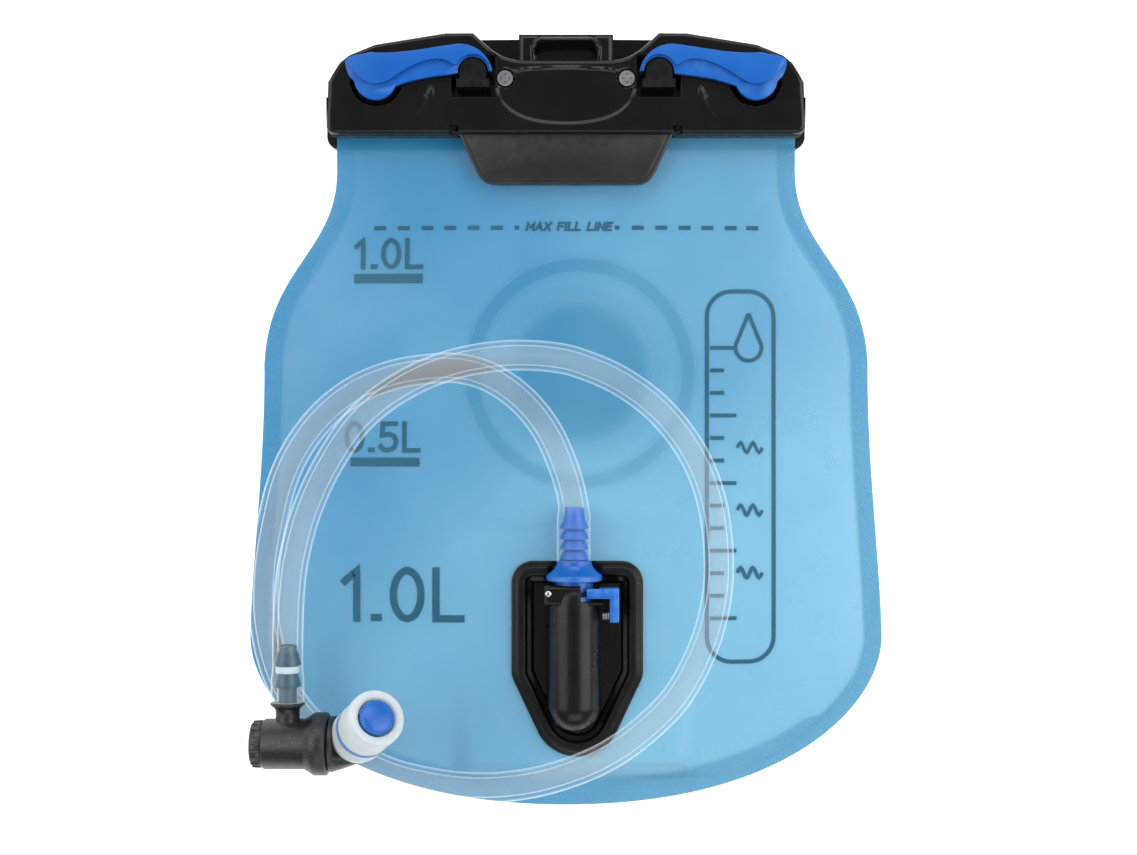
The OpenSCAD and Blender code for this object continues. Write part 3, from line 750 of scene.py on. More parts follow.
ELBOW_BLACK = Finish("elbow black", "0e0f10", "191a1c", 0.3, 0.5, 1500, 0.22, "5d6063", 0.3, flecks=0.28)
ROTOR_WHITE = Finish("rotor white", "c4c9cb", "cfd4d6", 0.35, 0.5, 2200, 0.05, "ffffff", 0.1)
BAND_BLUE = Finish("band blue", "4a76b8", "5a86c4", 0.45, 0.6, 2200, 0.08, "8fb0dc", 0.1)
SILICONE = Finish("frosted silicone", "dbe7ec", "e6eff2", 0.38, 0.5, 1400, 0.05, "ffffff", 0.0, 0.0,
                  transmission=0.35, subsurface=0.25, ior=1.41)
INK = Finish("teal ink", "0e5068", "14586f", 0.4, 0.55, 2600, 0.05, "0e5068", 0.0)
# The second colour of each film is painted shade and the first is its painted lit side; the third is the
# weld.
FRONT_FILM = FilmFinish("front film", "86cae6", "2f94c6", "2f92c2", 0.4, 0.5)
BACK_FILM = FilmFinish("back film", "7cc2e0", "3c99c8", "3a96c4", 0.55, 0.55, (0.0045, 0.016, 0.0004),
    "00416f")


def srgba(code: str) -> tuple[float, float, float, float]:
    """Linear colour of a six-digit hex code with full opacity."""
    return (*srgb(code), 1.0)


@dataclass(frozen=True)
class ClearTubeFinish(Surface):
    """Clear flexible tubing: nearly invisible face on, painted white where its wall is seen edge on, standing
    in for the bright room reflected in it.
    """

    name: str
    colour: str
    face_alpha: float
    edge_reflection_alpha: float

    def build(self) -> bpy.types.Material:
        """The material, built on its first use.

        Returns:
            The material.
        """
        material = bpy.data.materials.get(self.name)
        if material:
            return material
        material = bpy.data.materials.new(self.name)
        material.use_nodes = True
        w = Wiring(material.node_tree)
        # Painted reflection: the white surface turns more opaque towards the edges that face away from the
        # camera.
        facing = w.add("ShaderNodeLayerWeight", {"Blend": 0.5}).outputs["Facing"]
        alpha = w.remap(facing, 0.45, 0.95, self.face_alpha, self.edge_reflection_alpha)
        shadow = w.add("ShaderNodeLightPath").outputs["Is Shadow Ray"]
        alpha = w.maths("MULTIPLY", alpha, w.remap(shadow, 0.0, 1.0, 1.0, 0.15))
        tone = TONE.place(w, {"Colour": srgba(self.colour), "Other colour": srgba("ffffff"),
            "Patches per metre": 60.0})
        marks = HANDLING.place(w, {"Smooth": 0.08, "Rough": 0.2, "Scratches": 0.05})
        grain = GRAIN.place(w, {"Grain per metre": 300.0, "Strength": 0.15})
        # The white emission is a painted glow that brightens the whole tube.
        surface = w.add("ShaderNodeBsdfPrincipled", {
            "Base Color": tone.outputs["Colour"], "Roughness": marks.outputs["Roughness"],
            "Normal": grain.outputs["Normal"], "Alpha": alpha, "IOR": 1.5, "Coat Weight": 0.6,
            "Coat Roughness": 0.08,
            "Emission Color": (0.9, 0.97, 1.0, 1.0), "Emission Strength": 0.35})
        w.tree.links.new(surface.outputs[0], w.add("ShaderNodeOutputMaterial").inputs["Surface"])
        return material


TUBE_CLEAR = ClearTubeFinish("clear tubing", "f2f9fc", 0.03, 0.42)


def settle(obj: bpy.types.Object, body: str, finish: Surface, slot: str, *nodes: str) -> bpy.types.Object:
    """Finishes a piece and fastens it.

    Args:
        obj: The piece.
        body: CAD body that it moves with.
        finish: Its finish.
        slot: The record's material slot; not used.
        nodes: CAD nodes that it stands for.

    Returns:
        The same piece.
    """
    finish.dress(obj)
    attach(obj, body)
    if nodes:
        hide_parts(*nodes)
    log.info("%s rides on %s, finish %s", obj.name, body, finish.name)
    return obj


# ---------------------------------------------------------------------------------------------
# Studio
# ---------------------------------------------------------------------------------------------

@dataclass(frozen=True)
class Lamp:
    """A soft rectangular light aimed at a point."""

    name: str
    place: tuple[float, float, float]
    target: tuple[float, float, float]
    size: tuple[float, float]
    power: float

    def build(self) -> bpy.types.Object:
        """Adds the light to the scene.

        Returns:
            The light.
        """
        data = bpy.data.lights.new(self.name, "AREA")
        data.shape = "RECTANGLE"
        data.size, data.size_y = self.size
        data.energy = self.power
        obj = bpy.data.objects.new(self.name, data)
        bpy.context.scene.collection.objects.link(obj)
        obj.location = self.place
        obj.rotation_euler = (Vector(self.target) - Vector(self.place)).to_track_quat("-Z", "Y").to_euler()
        return obj


@dataclass(frozen=True)
class Studio:
    """Camera straight above the object, white floor and soft light from the sides."""

    eye: tuple[float, float, float] = (0.0008, -0.00156, 0.55)
    lens: float = 53.82
    floor_size: float = 16.0
    table_glow: float = 0.55
    ambient: float = 0.3
    lamps: tuple[Lamp, ...] = (
        Lamp("left panel", (-0.95, 0.15, 0.75), (0, 0, 0), (1.1, 1.1), 8.5),
        Lamp("right panel", (0.95, 0.1, 0.8), (0, 0, 0), (1.1, 1.1), 11.5),
        Lamp("rear panel", (0.0, 1.0, 0.8), (0, 0.02, 0), (1.4, 0.7), 7.5),
        Lamp("front panel", (0.1, -1.0, 0.85), (0, 0, 0), (1.2, 0.6), 4.0),
    )

    def build(self) -> None:
        """Adds the camera, the floor and the lights."""
        scene = bpy.context.scene
        data = bpy.data.cameras.new("camera")
        data.sensor_width = 36.0
        data.lens = self.lens
        data.dof.use_dof = False
        data.clip_start = 0.01
        camera = bpy.data.objects.new("camera", data)
        camera.location = self.eye
        scene.collection.objects.link(camera)
        scene.camera = camera
        scene.view_settings.view_transform = "Standard"
        world = bpy.data.worlds.new("soft white room")
        world.use_nodes = True
        background = world.node_tree.nodes["Background"]
        background.inputs["Color"].default_value = (1.0, 1.0, 1.0, 1.0)
        background.inputs["Strength"].default_value = self.ambient
        scene.world = world
        half = self.floor_size * 500
        floor = make_object("floor", [(-half, -half, -0.15), (half, -half, -0.15), (half, half, -0.15),
                                      (-half, half, -0.15)], [(0, 1, 2, 3)])
        paper = Finish("white paper", "f4f4f3", "f7f7f6", 0.7, 0.8, 500, 0.02, "ffffff", 0.0, 0.0)
        paper.dress(floor)
        glow = next(n for n in paper.build().node_tree.nodes if n.type == "BSDF_PRINCIPLED")
        glow.inputs["Emission Color"].default_value = (1.0, 1.0, 1.0, 1.0)
        glow.inputs["Emission Strength"].default_value = self.table_glow
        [lamp.build() for lamp in self.lamps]


# ---------------------------------------------------------------------------------------------
# Hose
# ---------------------------------------------------------------------------------------------

@dataclass(frozen=True)
class Hose:
    """Clear drinking tube, from the port's plug round one loop to the elbow."""

    radius: float = 4.8
    bore: float = 3.2
    step: float = 1.5
    swell: float = 0.5
    barb_length: float = 17.0
    elbow_barb_length: float = 9.0
    route: tuple[tuple[float, float, float], ...] = (
        (2.4, -43.7, 13.5), (2.4, -34, 13.5), (2.2, -25, 13.6), (-0.8, -14, 13.7), (-6, -2.5, 13.8),
        (-13.6, 7, 13.8), (-23, 13.8, 13.6), (-33, 17, 13.3), (-43, 17, 12.8), (-55, 15, 11.9),
        (-66.5, 10.4, 10.9), (-76, 3.4, 10), (-83.6, -5.4, 8.9), (-89, -15, 7.8), (-92.6, -26, 6.9),
        (-96.4, -47, 6.2), (-96, -66, 6.6), (-90.5, -84, 6.9), (-78.5, -99, 6.9), (-60, -110.3, 6.8),
        (-44, -115, 6.6), (-28, -116.6, 7), (-12, -114.8, 9.4), (2.5, -110.2, 12.4), (14.5, -104.4, 13.7),
        (25.2, -96.6, 13.6), (35.2, -86.4, 13.2), (43, -72, 13), (47.3, -57, 13.2), (48.2, -42, 13.4),
        (46, -25, 13.5), (40.2, -10, 13.6), (30, 3.4, 13.7), (17.4, 13, 13.8), (4, 18.8, 14.8),
        (-5, 20.6, 17.2), (-14, 21, 20.4), (-21, 20.6, 22.2), (-28, 19.6, 23), (-35, 18, 23.3),
        (-43, 15.2, 23.2), (-51, 11.2, 22.3), (-59, 6, 19.4), (-66.6, -0.8, 15.2), (-73.2, -9.6, 11.6),
        (-79, -19.8, 9.8), (-83.4, -31.4, 11), (-85.8, -43.5, 14.8), (-86.4, -52, 18), (-86.5, -60, 20.4),
        (-86.5, -68, 21.5), (-86.5, -76, 21.6), (-86.5, -86.8, 21.6),
    )

    def centres(self) -> np.ndarray:
        """Points along the smooth centreline, evenly spaced, in millimetres.

        Returns:
            One row per point, in millimetres.
        """
        p = np.array(self.route, float)
        p = np.concatenate([[2 * p[0] - p[1]], p, [2 * p[-1] - p[-2]]])
        fine = []
        for i in range(1, len(p) - 2):
            for t in np.linspace(0, 1, 12, endpoint=False):
                a, b, c, d = p[i - 1], p[i], p[i + 1], p[i + 2]
                fine.append(0.5 * (2 * b + (c - a) * t + (2 * a - 5 * b + 4 * c - d) * t ** 2
                                   + (3 * b - a - 3 * c + d) * t ** 3))
        fine.append(p[-2])
        fine = np.array(fine)
        along = np.concatenate([[0], np.cumsum(np.linalg.norm(np.diff(fine, axis=0), axis=1))])
        marks = np.linspace(0, along[-1], int(along[-1] / self.step) + 1)
        return np.stack([np.interp(marks, along, fine[:, k]) for k in range(3)], 1)

    def build(self) -> bpy.types.Object:
        """Makes the tube.

        Returns:
            The tube.
        """
        centres = self.centres()
        along = np.concatenate([[0], np.cumsum(np.linalg.norm(np.diff(centres, axis=0), axis=1))])
        back = along[-1] - along
        outer = np.full(len(centres), self.radius)
        outer += self.swell * (1 - ramp(self.barb_length - 3, self.barb_length + 1, along))
        outer += 0.12 * np.cos(along * 2 * math.pi / 3.25) * (along < self.barb_length - 2)
        outer += self.swell * 0.7 * (1 - ramp(self.elbow_barb_length - 2, self.elbow_barb_length + 1, back))
        obj = tube("drinking_tube", centres, outer, self.bore)
        return settle(obj, "root", TUBE_CLEAR, "hose_clear", "hose")

    def declare(self) -> None:
        centres = self.centres() * MM


# ---------------------------------------------------------------------------------------------
# Reservoir
# ---------------------------------------------------------------------------------------------

PORT_CIRCLES = ((-10.4, -51.1, 7.0), (17.6, -51.1, 7.0), (-9.4, -79.0, 8.0), (16.6, -79.0, 8.0),
    (3.6, -92.5, 14.0))


def inside_port(x: np.ndarray, y: np.ndarray, grow: float) -> np.ndarray:
    """Flags of the points inside the port's outline after it is grown by a distance.

    Args:
        x, y: The points, in millimetres.
        grow: Distance by which the outline is moved out.

    Returns:
        Flags in the points' shape.
    """
    inside = np.ones(np.shape(x), bool)
    for k in range(120):
        nx, ny = math.cos(2 * math.pi * k / 120), math.sin(2 * math.pi * k / 120)
        reach = max(cx * nx + cy * ny + r for cx, cy, r in PORT_CIRCLES)
        inside &= x * nx + y * ny <= reach + grow
    return inside


def edge_distance(x: np.ndarray, y: np.ndarray, loop: Sequence[Point2]) -> np.ndarray:
    """Distance of points from an outline, in the outline's own unit.

    Args:
        x, y: The points.
        loop: The closed outline.

    Returns:
        Distances in the points' shape.
    """
    pts = np.array(loop, float)
    best = np.full(np.shape(x), 1e9)
    for a, b in zip(pts, np.roll(pts, -1, axis=0)):
        d = b - a
        span = max(float(d @ d), 1e-12)
        t = np.clip(((x - a[0]) * d[0] + (y - a[1]) * d[1]) / span, 0, 1)
        best = np.minimum(best, np.hypot(x - a[0] - t * d[0], y - a[1] - t * d[1]))
    return best


@dataclass(frozen=True)
class Glyph:
    """Strokes of one printed character on a unit-high cell."""

    width: float
    strokes: tuple[tuple[Point2, ...], ...]


def round_glyph(width: float) -> Glyph:
    """The digit zero.

    Args:
        width: Its width for a height of one.

    Returns:
        The glyph.
    """
    h = width / 2
    loop = tuple((h + h * math.sin(2 * math.pi * k / 24),
        0.5 + 0.5 * math.cos(2 * math.pi * k / 24)) for k in range(25))
    return Glyph(width, (loop,))


GLYPHS: dict[str, Glyph] = {
    "0": round_glyph(0.56),
    "1": Glyph(0.3, (((0.0, 0.78), (0.24, 1.0), (0.24, 0.0)),)),
    "5": Glyph(0.56, (((0.54, 1.0), (0.08, 1.0), (0.05, 0.56), (0.3, 0.62), (0.5, 0.52), (0.56, 0.32),
    (0.48, 0.1),
                       (0.28, 0.0), (0.1, 0.03), (0.0, 0.14)),)),
    ".": Glyph(0.08, (((0.0, 0.02), (0.08, 0.02)),)),
    "L": Glyph(0.5, (((0.0, 1.0), (0.0, 0.0), (0.5, 0.0)),)),
    "M": Glyph(0.72, (((0.0, 0.0), (0.0, 1.0), (0.36, 0.3), (0.72, 1.0), (0.72, 0.0)),)),
    "A": Glyph(0.66, (((0.0, 0.0), (0.33, 1.0), (0.66, 0.0)), ((0.12, 0.33), (0.54, 0.33)))),
    "X": Glyph(0.6, (((0.0, 0.0), (0.6, 1.0)), ((0.0, 1.0), (0.6, 0.0)))),
    "F": Glyph(0.5, (((0.0, 0.0), (0.0, 1.0), (0.5, 1.0)), ((0.0, 0.52), (0.42, 0.52)))),
    "I": Glyph(0.04, (((0.02, 0.0), (0.02, 1.0)),)),
    "N": Glyph(0.6, (((0.0, 0.0), (0.0, 1.0), (0.6, 0.0), (0.6, 1.0)),)),
    "E": Glyph(0.5, (((0.5, 1.0), (0.0, 1.0), (0.0, 0.0), (0.5, 0.0)), ((0.0, 0.52), (0.42, 0.52)))),
    " ": Glyph(0.3, ()),
}


@dataclass(frozen=True)
class Reservoir:
    """Two welded films with printed fill marks on the front one."""

    half_width: float = 102.0
    neck_half: float = 73.3
    neck_top: float = 98.0
    neck_low: float = 81.0
    bottom: float = -123.4
    thickness: float = 0.4
    weld: float = 6.0
    bottom_weld: float = 8.5
    dome: float = 7.6
    belly: float = -30.0
    rows_per_mm: float = 0.55
    columns: int = 130

    def outline(self) -> list[Point2]:
        """The right half of the outline, from the neck's mouth to the middle of the bottom edge.

        Returns:
            The points, in millimetres.
        """
        neck = [(self.neck_half, self.neck_top - (self.neck_top - self.neck_low) * i / 9) for i in range(10)]
        shoulder, hip = (97.5, 19.0), (self.half_width, -69.0)
        upper = bezier((self.neck_half, self.neck_low), (self.neck_half, 56), (96, 51), shoulder,
            int(67 * self.rows_per_mm), 1)
        side = bezier(shoulder, (97.2, -13), (101.5, -44), hip, int(88 * self.rows_per_mm), 1)
        lower = bezier(hip, (self.half_width, -91), (72, self.bottom), (0, self.bottom), 60, 1)
        return neck + upper + side + lower

    def back_height(self, y: np.ndarray) -> np.ndarray:
        """Height of the back film's underside."""
        return 5.05 * ramp(46, 85, y)

    def half_at(self, y: np.ndarray) -> np.ndarray:
        """Half width of the reservoir at a height up the panel."""
        pts = np.array(self.outline())[::-1]
        return np.interp(y, pts[:, 1], pts[:, 0])

    def gap(self, x: np.ndarray, y: np.ndarray, w: np.ndarray) -> np.ndarray:
        """Space between the films, w being the half width at y.

        Args:
            x, y: The points, in millimetres.
            w: Half width of the reservoir at y.

        Returns:
            The gap in millimetres.
        """
        u = np.minimum(np.abs(x) / np.maximum(w - self.weld, 0.1), 1)
        v = np.clip((self.belly - y) / (self.belly - self.bottom - self.bottom_weld), 0, 1)
        slack = self.dome * (1 - u ** 2) ** 0.6 * (1 - v ** 3) ** 0.6 * (1 - ramp(36, 86, y))
        spot = 1 - ramp(0, 8, np.maximum(np.abs(x - 3.6) - 32, np.abs(y + 71.55) - 35.55))
        folds = 0.34 * wobble(x, y, 26.0, 3.1) + 0.16 * wobble(x, y * 1.7, 11.0, 8.4)
        calm = np.minimum(slack / 3.0, 1) * (1 - spot)
        return slack * (1 - spot) + 6.15 * spot + (folds - 0.3) * calm

    def top(self, x: np.ndarray, y: np.ndarray) -> np.ndarray:
        """Height of the front film's upper face."""
        x, y = np.asarray(x, float), np.asarray(y, float)
        return self.back_height(y) + 0.45 + self.gap(x, y, self.half_at(y)) + self.thickness

    def panel(self, name: str, front: bool) -> bpy.types.Object:
        """One film as a closed thin shell, with each point's distance from the edge stored on it.

        Args:
            name: Name of the piece.
            front: Whether it is the front film, which bulges and has the port's hole.

        Returns:
            The film.
        """
        half = np.array(self.outline())
        w = np.maximum(half[:, 0], 0.3)
        spread = np.sin(np.pi / 2 * np.linspace(-1, 1, self.columns + 1) * 0.9) / math.sin(math.pi / 2 * 0.9)
        x = w[:, None] * spread[None, :]
        y = np.repeat(half[:, 1][:, None], self.columns + 1, axis=1)
        low = self.back_height(y)
        if front:
            low = low + 0.45 + self.gap(x, y, np.repeat(w[:, None], self.columns + 1, axis=1))
        middle_x = (x[:-1, :-1] + x[1:, 1:]) / 2
        middle_y = (y[:-1, :-1] + y[1:, 1:]) / 2
        keep = ~inside_port(middle_x, middle_y, -4.0) if front else np.ones(middle_x.shape, bool)
        obj = relief(name, x[::-1], y[::-1], low[::-1] + self.thickness, low[::-1], keep[::-1], 70.0)
        loop = [tuple(p) for p in half] + [(-p[0], p[1]) for p in half[::-1]]
        co = np.array([v.co for v in obj.data.vertices]) / MM
        rim = edge_distance(co[:, 0], co[:, 1], loop)
        rim = np.where(co[:, 1] < -95, np.minimum(rim, rim * 6.0 / self.bottom_weld), rim)
        rim = np.where(co[:, 1] > 90, 20.0, rim)
        layer = obj.data.attributes.new("edge_mm", "FLOAT", "POINT")
        layer.data.foreach_set("value", rim.astype(np.float32))
        return obj

    def ribbon(self, points: Sequence[Point2], width: float, verts: list, faces: list,
               square: bool = False) -> None:
        """Adds one printed stroke, laid on the film, to a list of corners and faces.

        Args:
            points: The stroke's line in millimetres.
            width: Its width in millimetres.
            verts: List the corners are added to.
            faces: List the faces are added to.
            square: Whether the ends are lengthened by half the width.
        """
        p = [np.array(q, float) for q in points]
        if square:
            p[0] = p[0] - (p[1] - p[0]) / np.linalg.norm(p[1] - p[0]) * width / 2
            p[-1] = p[-1] + (p[-1] - p[-2]) / np.linalg.norm(p[-1] - p[-2]) * width / 2
        line = [p[0]]
        for a, b in zip(p, p[1:]):
            parts = max(1, int(np.linalg.norm(b - a) / 1.2))
            line += [a + (b - a) * k / parts for k in range(1, parts + 1)]
        line = np.array(line)
        steps = np.diff(line, axis=0)
        steps /= np.linalg.norm(steps, axis=1)[:, None]
        normals = np.stack([-steps[:, 1], steps[:, 0]], 1)
        joint = np.concatenate([normals[:1], normals[:-1] + normals[1:], normals[-1:]])
        joint /= np.maximum(np.linalg.norm(joint, axis=1), 0.3)[:, None]
        cosine = np.concatenate([[1.0], np.clip((joint[1:-1] * normals[1:]).sum(1), 0.5, 1), [1.0]])
        joint = joint / cosine[:, None]
        sides = [line + joint * width / 2 * s for s in (1, -1)]
        base = len(verts)
        for rise in (0.2, 0.1):
            for side in sides:
                z = self.top(side[:, 0], side[:, 1]) + rise
                verts += [(a, b, c) for (a, b), c in zip(side, z)]
        n = len(line)
        a, b, c, d = base, base + n, base + 2 * n, base + 3 * n
        for i in range(n - 1):
            faces += [[b + i, b + i + 1, a + i + 1, a + i], [c + i, c + i + 1, d + i + 1, d + i],
                      [a + i, a + i + 1, c + i + 1, c + i], [b + i + 1, b + i, d + i, d + i + 1]]
        faces += [[a, c, d, b], [a + n - 1, b + n - 1, d + n - 1, c + n - 1]]

    def print_words(self, text: str, x: float, y: float, height: float, width: float, line: float,
                    lean: float = 0.0) -> bpy.types.Object:
        """Prints a line of characters on the film.

        Args:
            text: The characters.
            x: Left edge in millimetres.
            y: Foot of the characters.
            height: Height of the characters.
            width: Width the whole line is stretched to.
            line: Width of the strokes.
            lean: Sideways lean per unit of height.

        Returns:
            The printed piece.
        """
        spaced = sum(GLYPHS[c].width for c in text) + 0.3 * (len(text) - 1)
        stretch = (width - line) / spaced
        verts: list = []
        faces: list = []
        cursor = 0.0
        for c in text:
            for stroke in GLYPHS[c].strokes:
                run = [(x + line / 2 + (cursor + px) * stretch + lean * py * height,
                        y + line / 2 + py * (height - line)) for px, py in stroke]
                self.ribbon(run, line, verts, faces, square=True)
            cursor += GLYPHS[c].width + 0.3
        return make_object("print_" + "_".join(text.replace(".", "p").split()), verts, faces)

    def strokes(self, name: str, runs: Sequence[tuple[Sequence[Point2], float]]) -> bpy.types.Object:
        """Prints several plain strokes as one piece.

        Args:
            name: Name of the piece.
            runs: Each line with its width.

        Returns:
            The printed piece.
        """
        verts: list = []
        faces: list = []
        for run, width in runs:
            self.ribbon(run, width, verts, faces)
        return make_object(name, verts, faces)

    def gauge(self) -> bpy.types.Object:
        """Prints an upright outlined scale with ticks and a drop.

        Returns:
            The printed piece.
        """
        runs: list = []
        left, right, low, high, r = 45.0, 66.5, -76.5, 42.0, 8.0
        box = (arc(right - r, high - r, r, 0, 90, 8) + arc(left + r, high - r, r, 90, 180, 8)
               + arc(left + r, low + r, r, 180, 270, 8) + arc(right - r, low + r, r, 270, 360, 8))
        runs.append((box + box[:1], 1.3))
        for k in range(13):
            y = low + 14 + k * 7.2
            reach = 9.5 if k % 3 == 0 else 5.5
            runs.append((((left + 1, y), (left + reach, y)), 1.2))
        cx, cy, size = 58.4, 24.0, 4.2
        drop = arc(cx, cy, size, -215, 35, 20)
        runs.append(([(cx, cy + 2.6 * size)] + drop[::-1] + [(cx, cy + 2.6 * size)], 1.2))
        for k, base in enumerate((-48.0, -28.0, -8.0)):
            wave = [(56.0 + 8 * i / 16 - 1.2, base + 1.6 * math.sin(i * math.pi / 4)) for i in range(17)]
            runs.append((wave, 1.2 - 0.1 * k))
        return self.strokes("print_gauge", runs)

    def build(self) -> None:
        """Makes the films and the prints."""
        back = settle(self.panel("back_film", False), "root", BACK_FILM, "film_back", "film_back")
        front = settle(self.panel("front_film", True), "root", FRONT_FILM, "film_front", "film_front")
        prints = [
            self.print_words("1.0L", -68.0, 49.2, 10.0, 22.3, 1.45),
            self.print_words("0.5L", -71.0, -9.6, 10.0, 24.5, 1.45),
            self.print_words("1.0L", -72.0, -63.8, 17.6, 39.6, 2.3),
            self.print_words("MAX FILL LINE", -13.0, 61.3, 3.0, 27.6, 0.7, 0.18),
            self.gauge(),
        ]
        prints[2].name = "print_size"
        dashes = [((x - 1.9, 62.4), (x + 1.9, 62.4)) for x in
                  (-59.6, -52.0, -44.4, -37.1, -29.6, -22.1, 23.0, 30.5, 38.0, 45.3, 52.8, 59.8)]
        dashes += [((x - 0.7, 62.4), (x + 0.7, 62.4)) for x in (-15.7, 16.4)]
        prints.append(self.strokes("print_dashes", [(d, 1.3) for d in dashes]))
        prints.append(self.strokes("print_bars", [(((-68.0, 46.2), (-45.8, 46.2)), 3.0),
                                                  (((-69.0, -12.6), (-46.8, -12.6)), 2.8)]))
        for obj in prints:
            settle(obj, "root", INK, "film_front")


# ---------------------------------------------------------------------------------------------
# Closure
# ---------------------------------------------------------------------------------------------

def inside_loop(x: np.ndarray, y: np.ndarray, loop: Sequence[Point2]) -> np.ndarray:
    """Flags of the points inside a closed outline.

    Args:
        x, y: The points.
        loop: The closed outline.

    Returns:
        Flags in the points' shape.
    """
    inside = np.zeros(np.shape(x), bool)
    for (ax, ay), (bx, by) in zip(loop, list(loop[1:]) + [loop[0]]):
        if ay == by:
            continue
        crosses = ((ay > y) != (by > y)) & (x < (bx - ax) * (y - ay) / (by - ay) + ax)
        inside ^= crosses
    return inside


def signed_distance(x: np.ndarray, y: np.ndarray, loop: Sequence[Point2]) -> np.ndarray:
    """Distance from a closed outline, negative inside it."""
    return np.where(inside_loop(x, y, loop), -1.0, 1.0) * edge_distance(x, y, loop)


@dataclass(frozen=True)
class LeverShape:
    """Outline and heights of a cam lever, for the right side."""

    pivot: Point2 = (59.8, 107.9)
    foot_r: float = 6.6
    low: float = 14.9
    step: float = 16.9
    top: float = 18.4
    hook_centre: Point2 = (29.2, 110.0)
    hook_r: float = 4.75

    def outline(self) -> list[Point2]:
        """The lever's outline, counter-clockwise.

        Returns:
            The points, in millimetres.
        """
        outer = (bezier((69.2, 112.2), (69.8, 115.4), (66, 114.9), (61.5, 116.2), 8)
                 + bezier((61.5, 116.2), (52, 115.4), (44, 117.6), (34, 118.8), 14, 1)
                 + bezier((34, 118.8), (28, 119.2), (23.6, 114.5), (23.2, 110.4), 12, 1))
        hook = arc(*self.hook_centre, self.hook_r, 174, -4, 20)
        inner = (bezier((37.2, 109.2), (44, 108.6), (50, 107), (53.6, 105.6), 12)
                 + arc(*self.pivot, self.foot_r, 200, 345, 14)
                 + bezier((66.6, 107.4), (68.4, 108.6), (68.8, 110.4), (69.2, 112.2), 5)[:-1])
        return outer + hook + inner

    def raised(self) -> list[Point2]:
        """Outline of the upper step.

        Returns:
            The points, in millimetres.
        """
        top = (bezier((68.6, 112.6), (69.2, 114.8), (66, 114.3), (61.5, 115.7), 8)
               + bezier((61.5, 115.7), (52, 114.9), (44, 117.1), (34, 118.3), 14, 1)
               + bezier((34, 118.3), (28.4, 118.7), (24.3, 114.5), (23.9, 110.6), 12, 1))
        hook = arc(*self.hook_centre, self.hook_r + 0.55, 172, 22, 16)
        inner = (bezier((35.4, 112.2), (40, 116.0), (48, 112.6), (54, 108.2), 14)
                 + bezier((54, 108.2), (59.5, 104.6), (63, 105.2), (68.6, 112.6), 14, 1)[:-1])
        return top + hook + inner

    def build(self, side: int) -> bpy.types.Object:
        """Makes the lever of one side, 1 for the right and -1 for the left.

        Args:
            side: 1 or -1.

        Returns:
            The lever.
        """
        flip = (lambda pts: pts) if side > 0 else mirrored
        lower = prism("lever_low", flip(self.outline()), self.low, self.step, 0.45, 3)
        upper = prism("lever_up", flip(self.raised()), self.step - 0.6, self.top, 0.5, 4)
        return joined("lever_right_shell" if side > 0 else "lever_left_shell", [lower, upper])


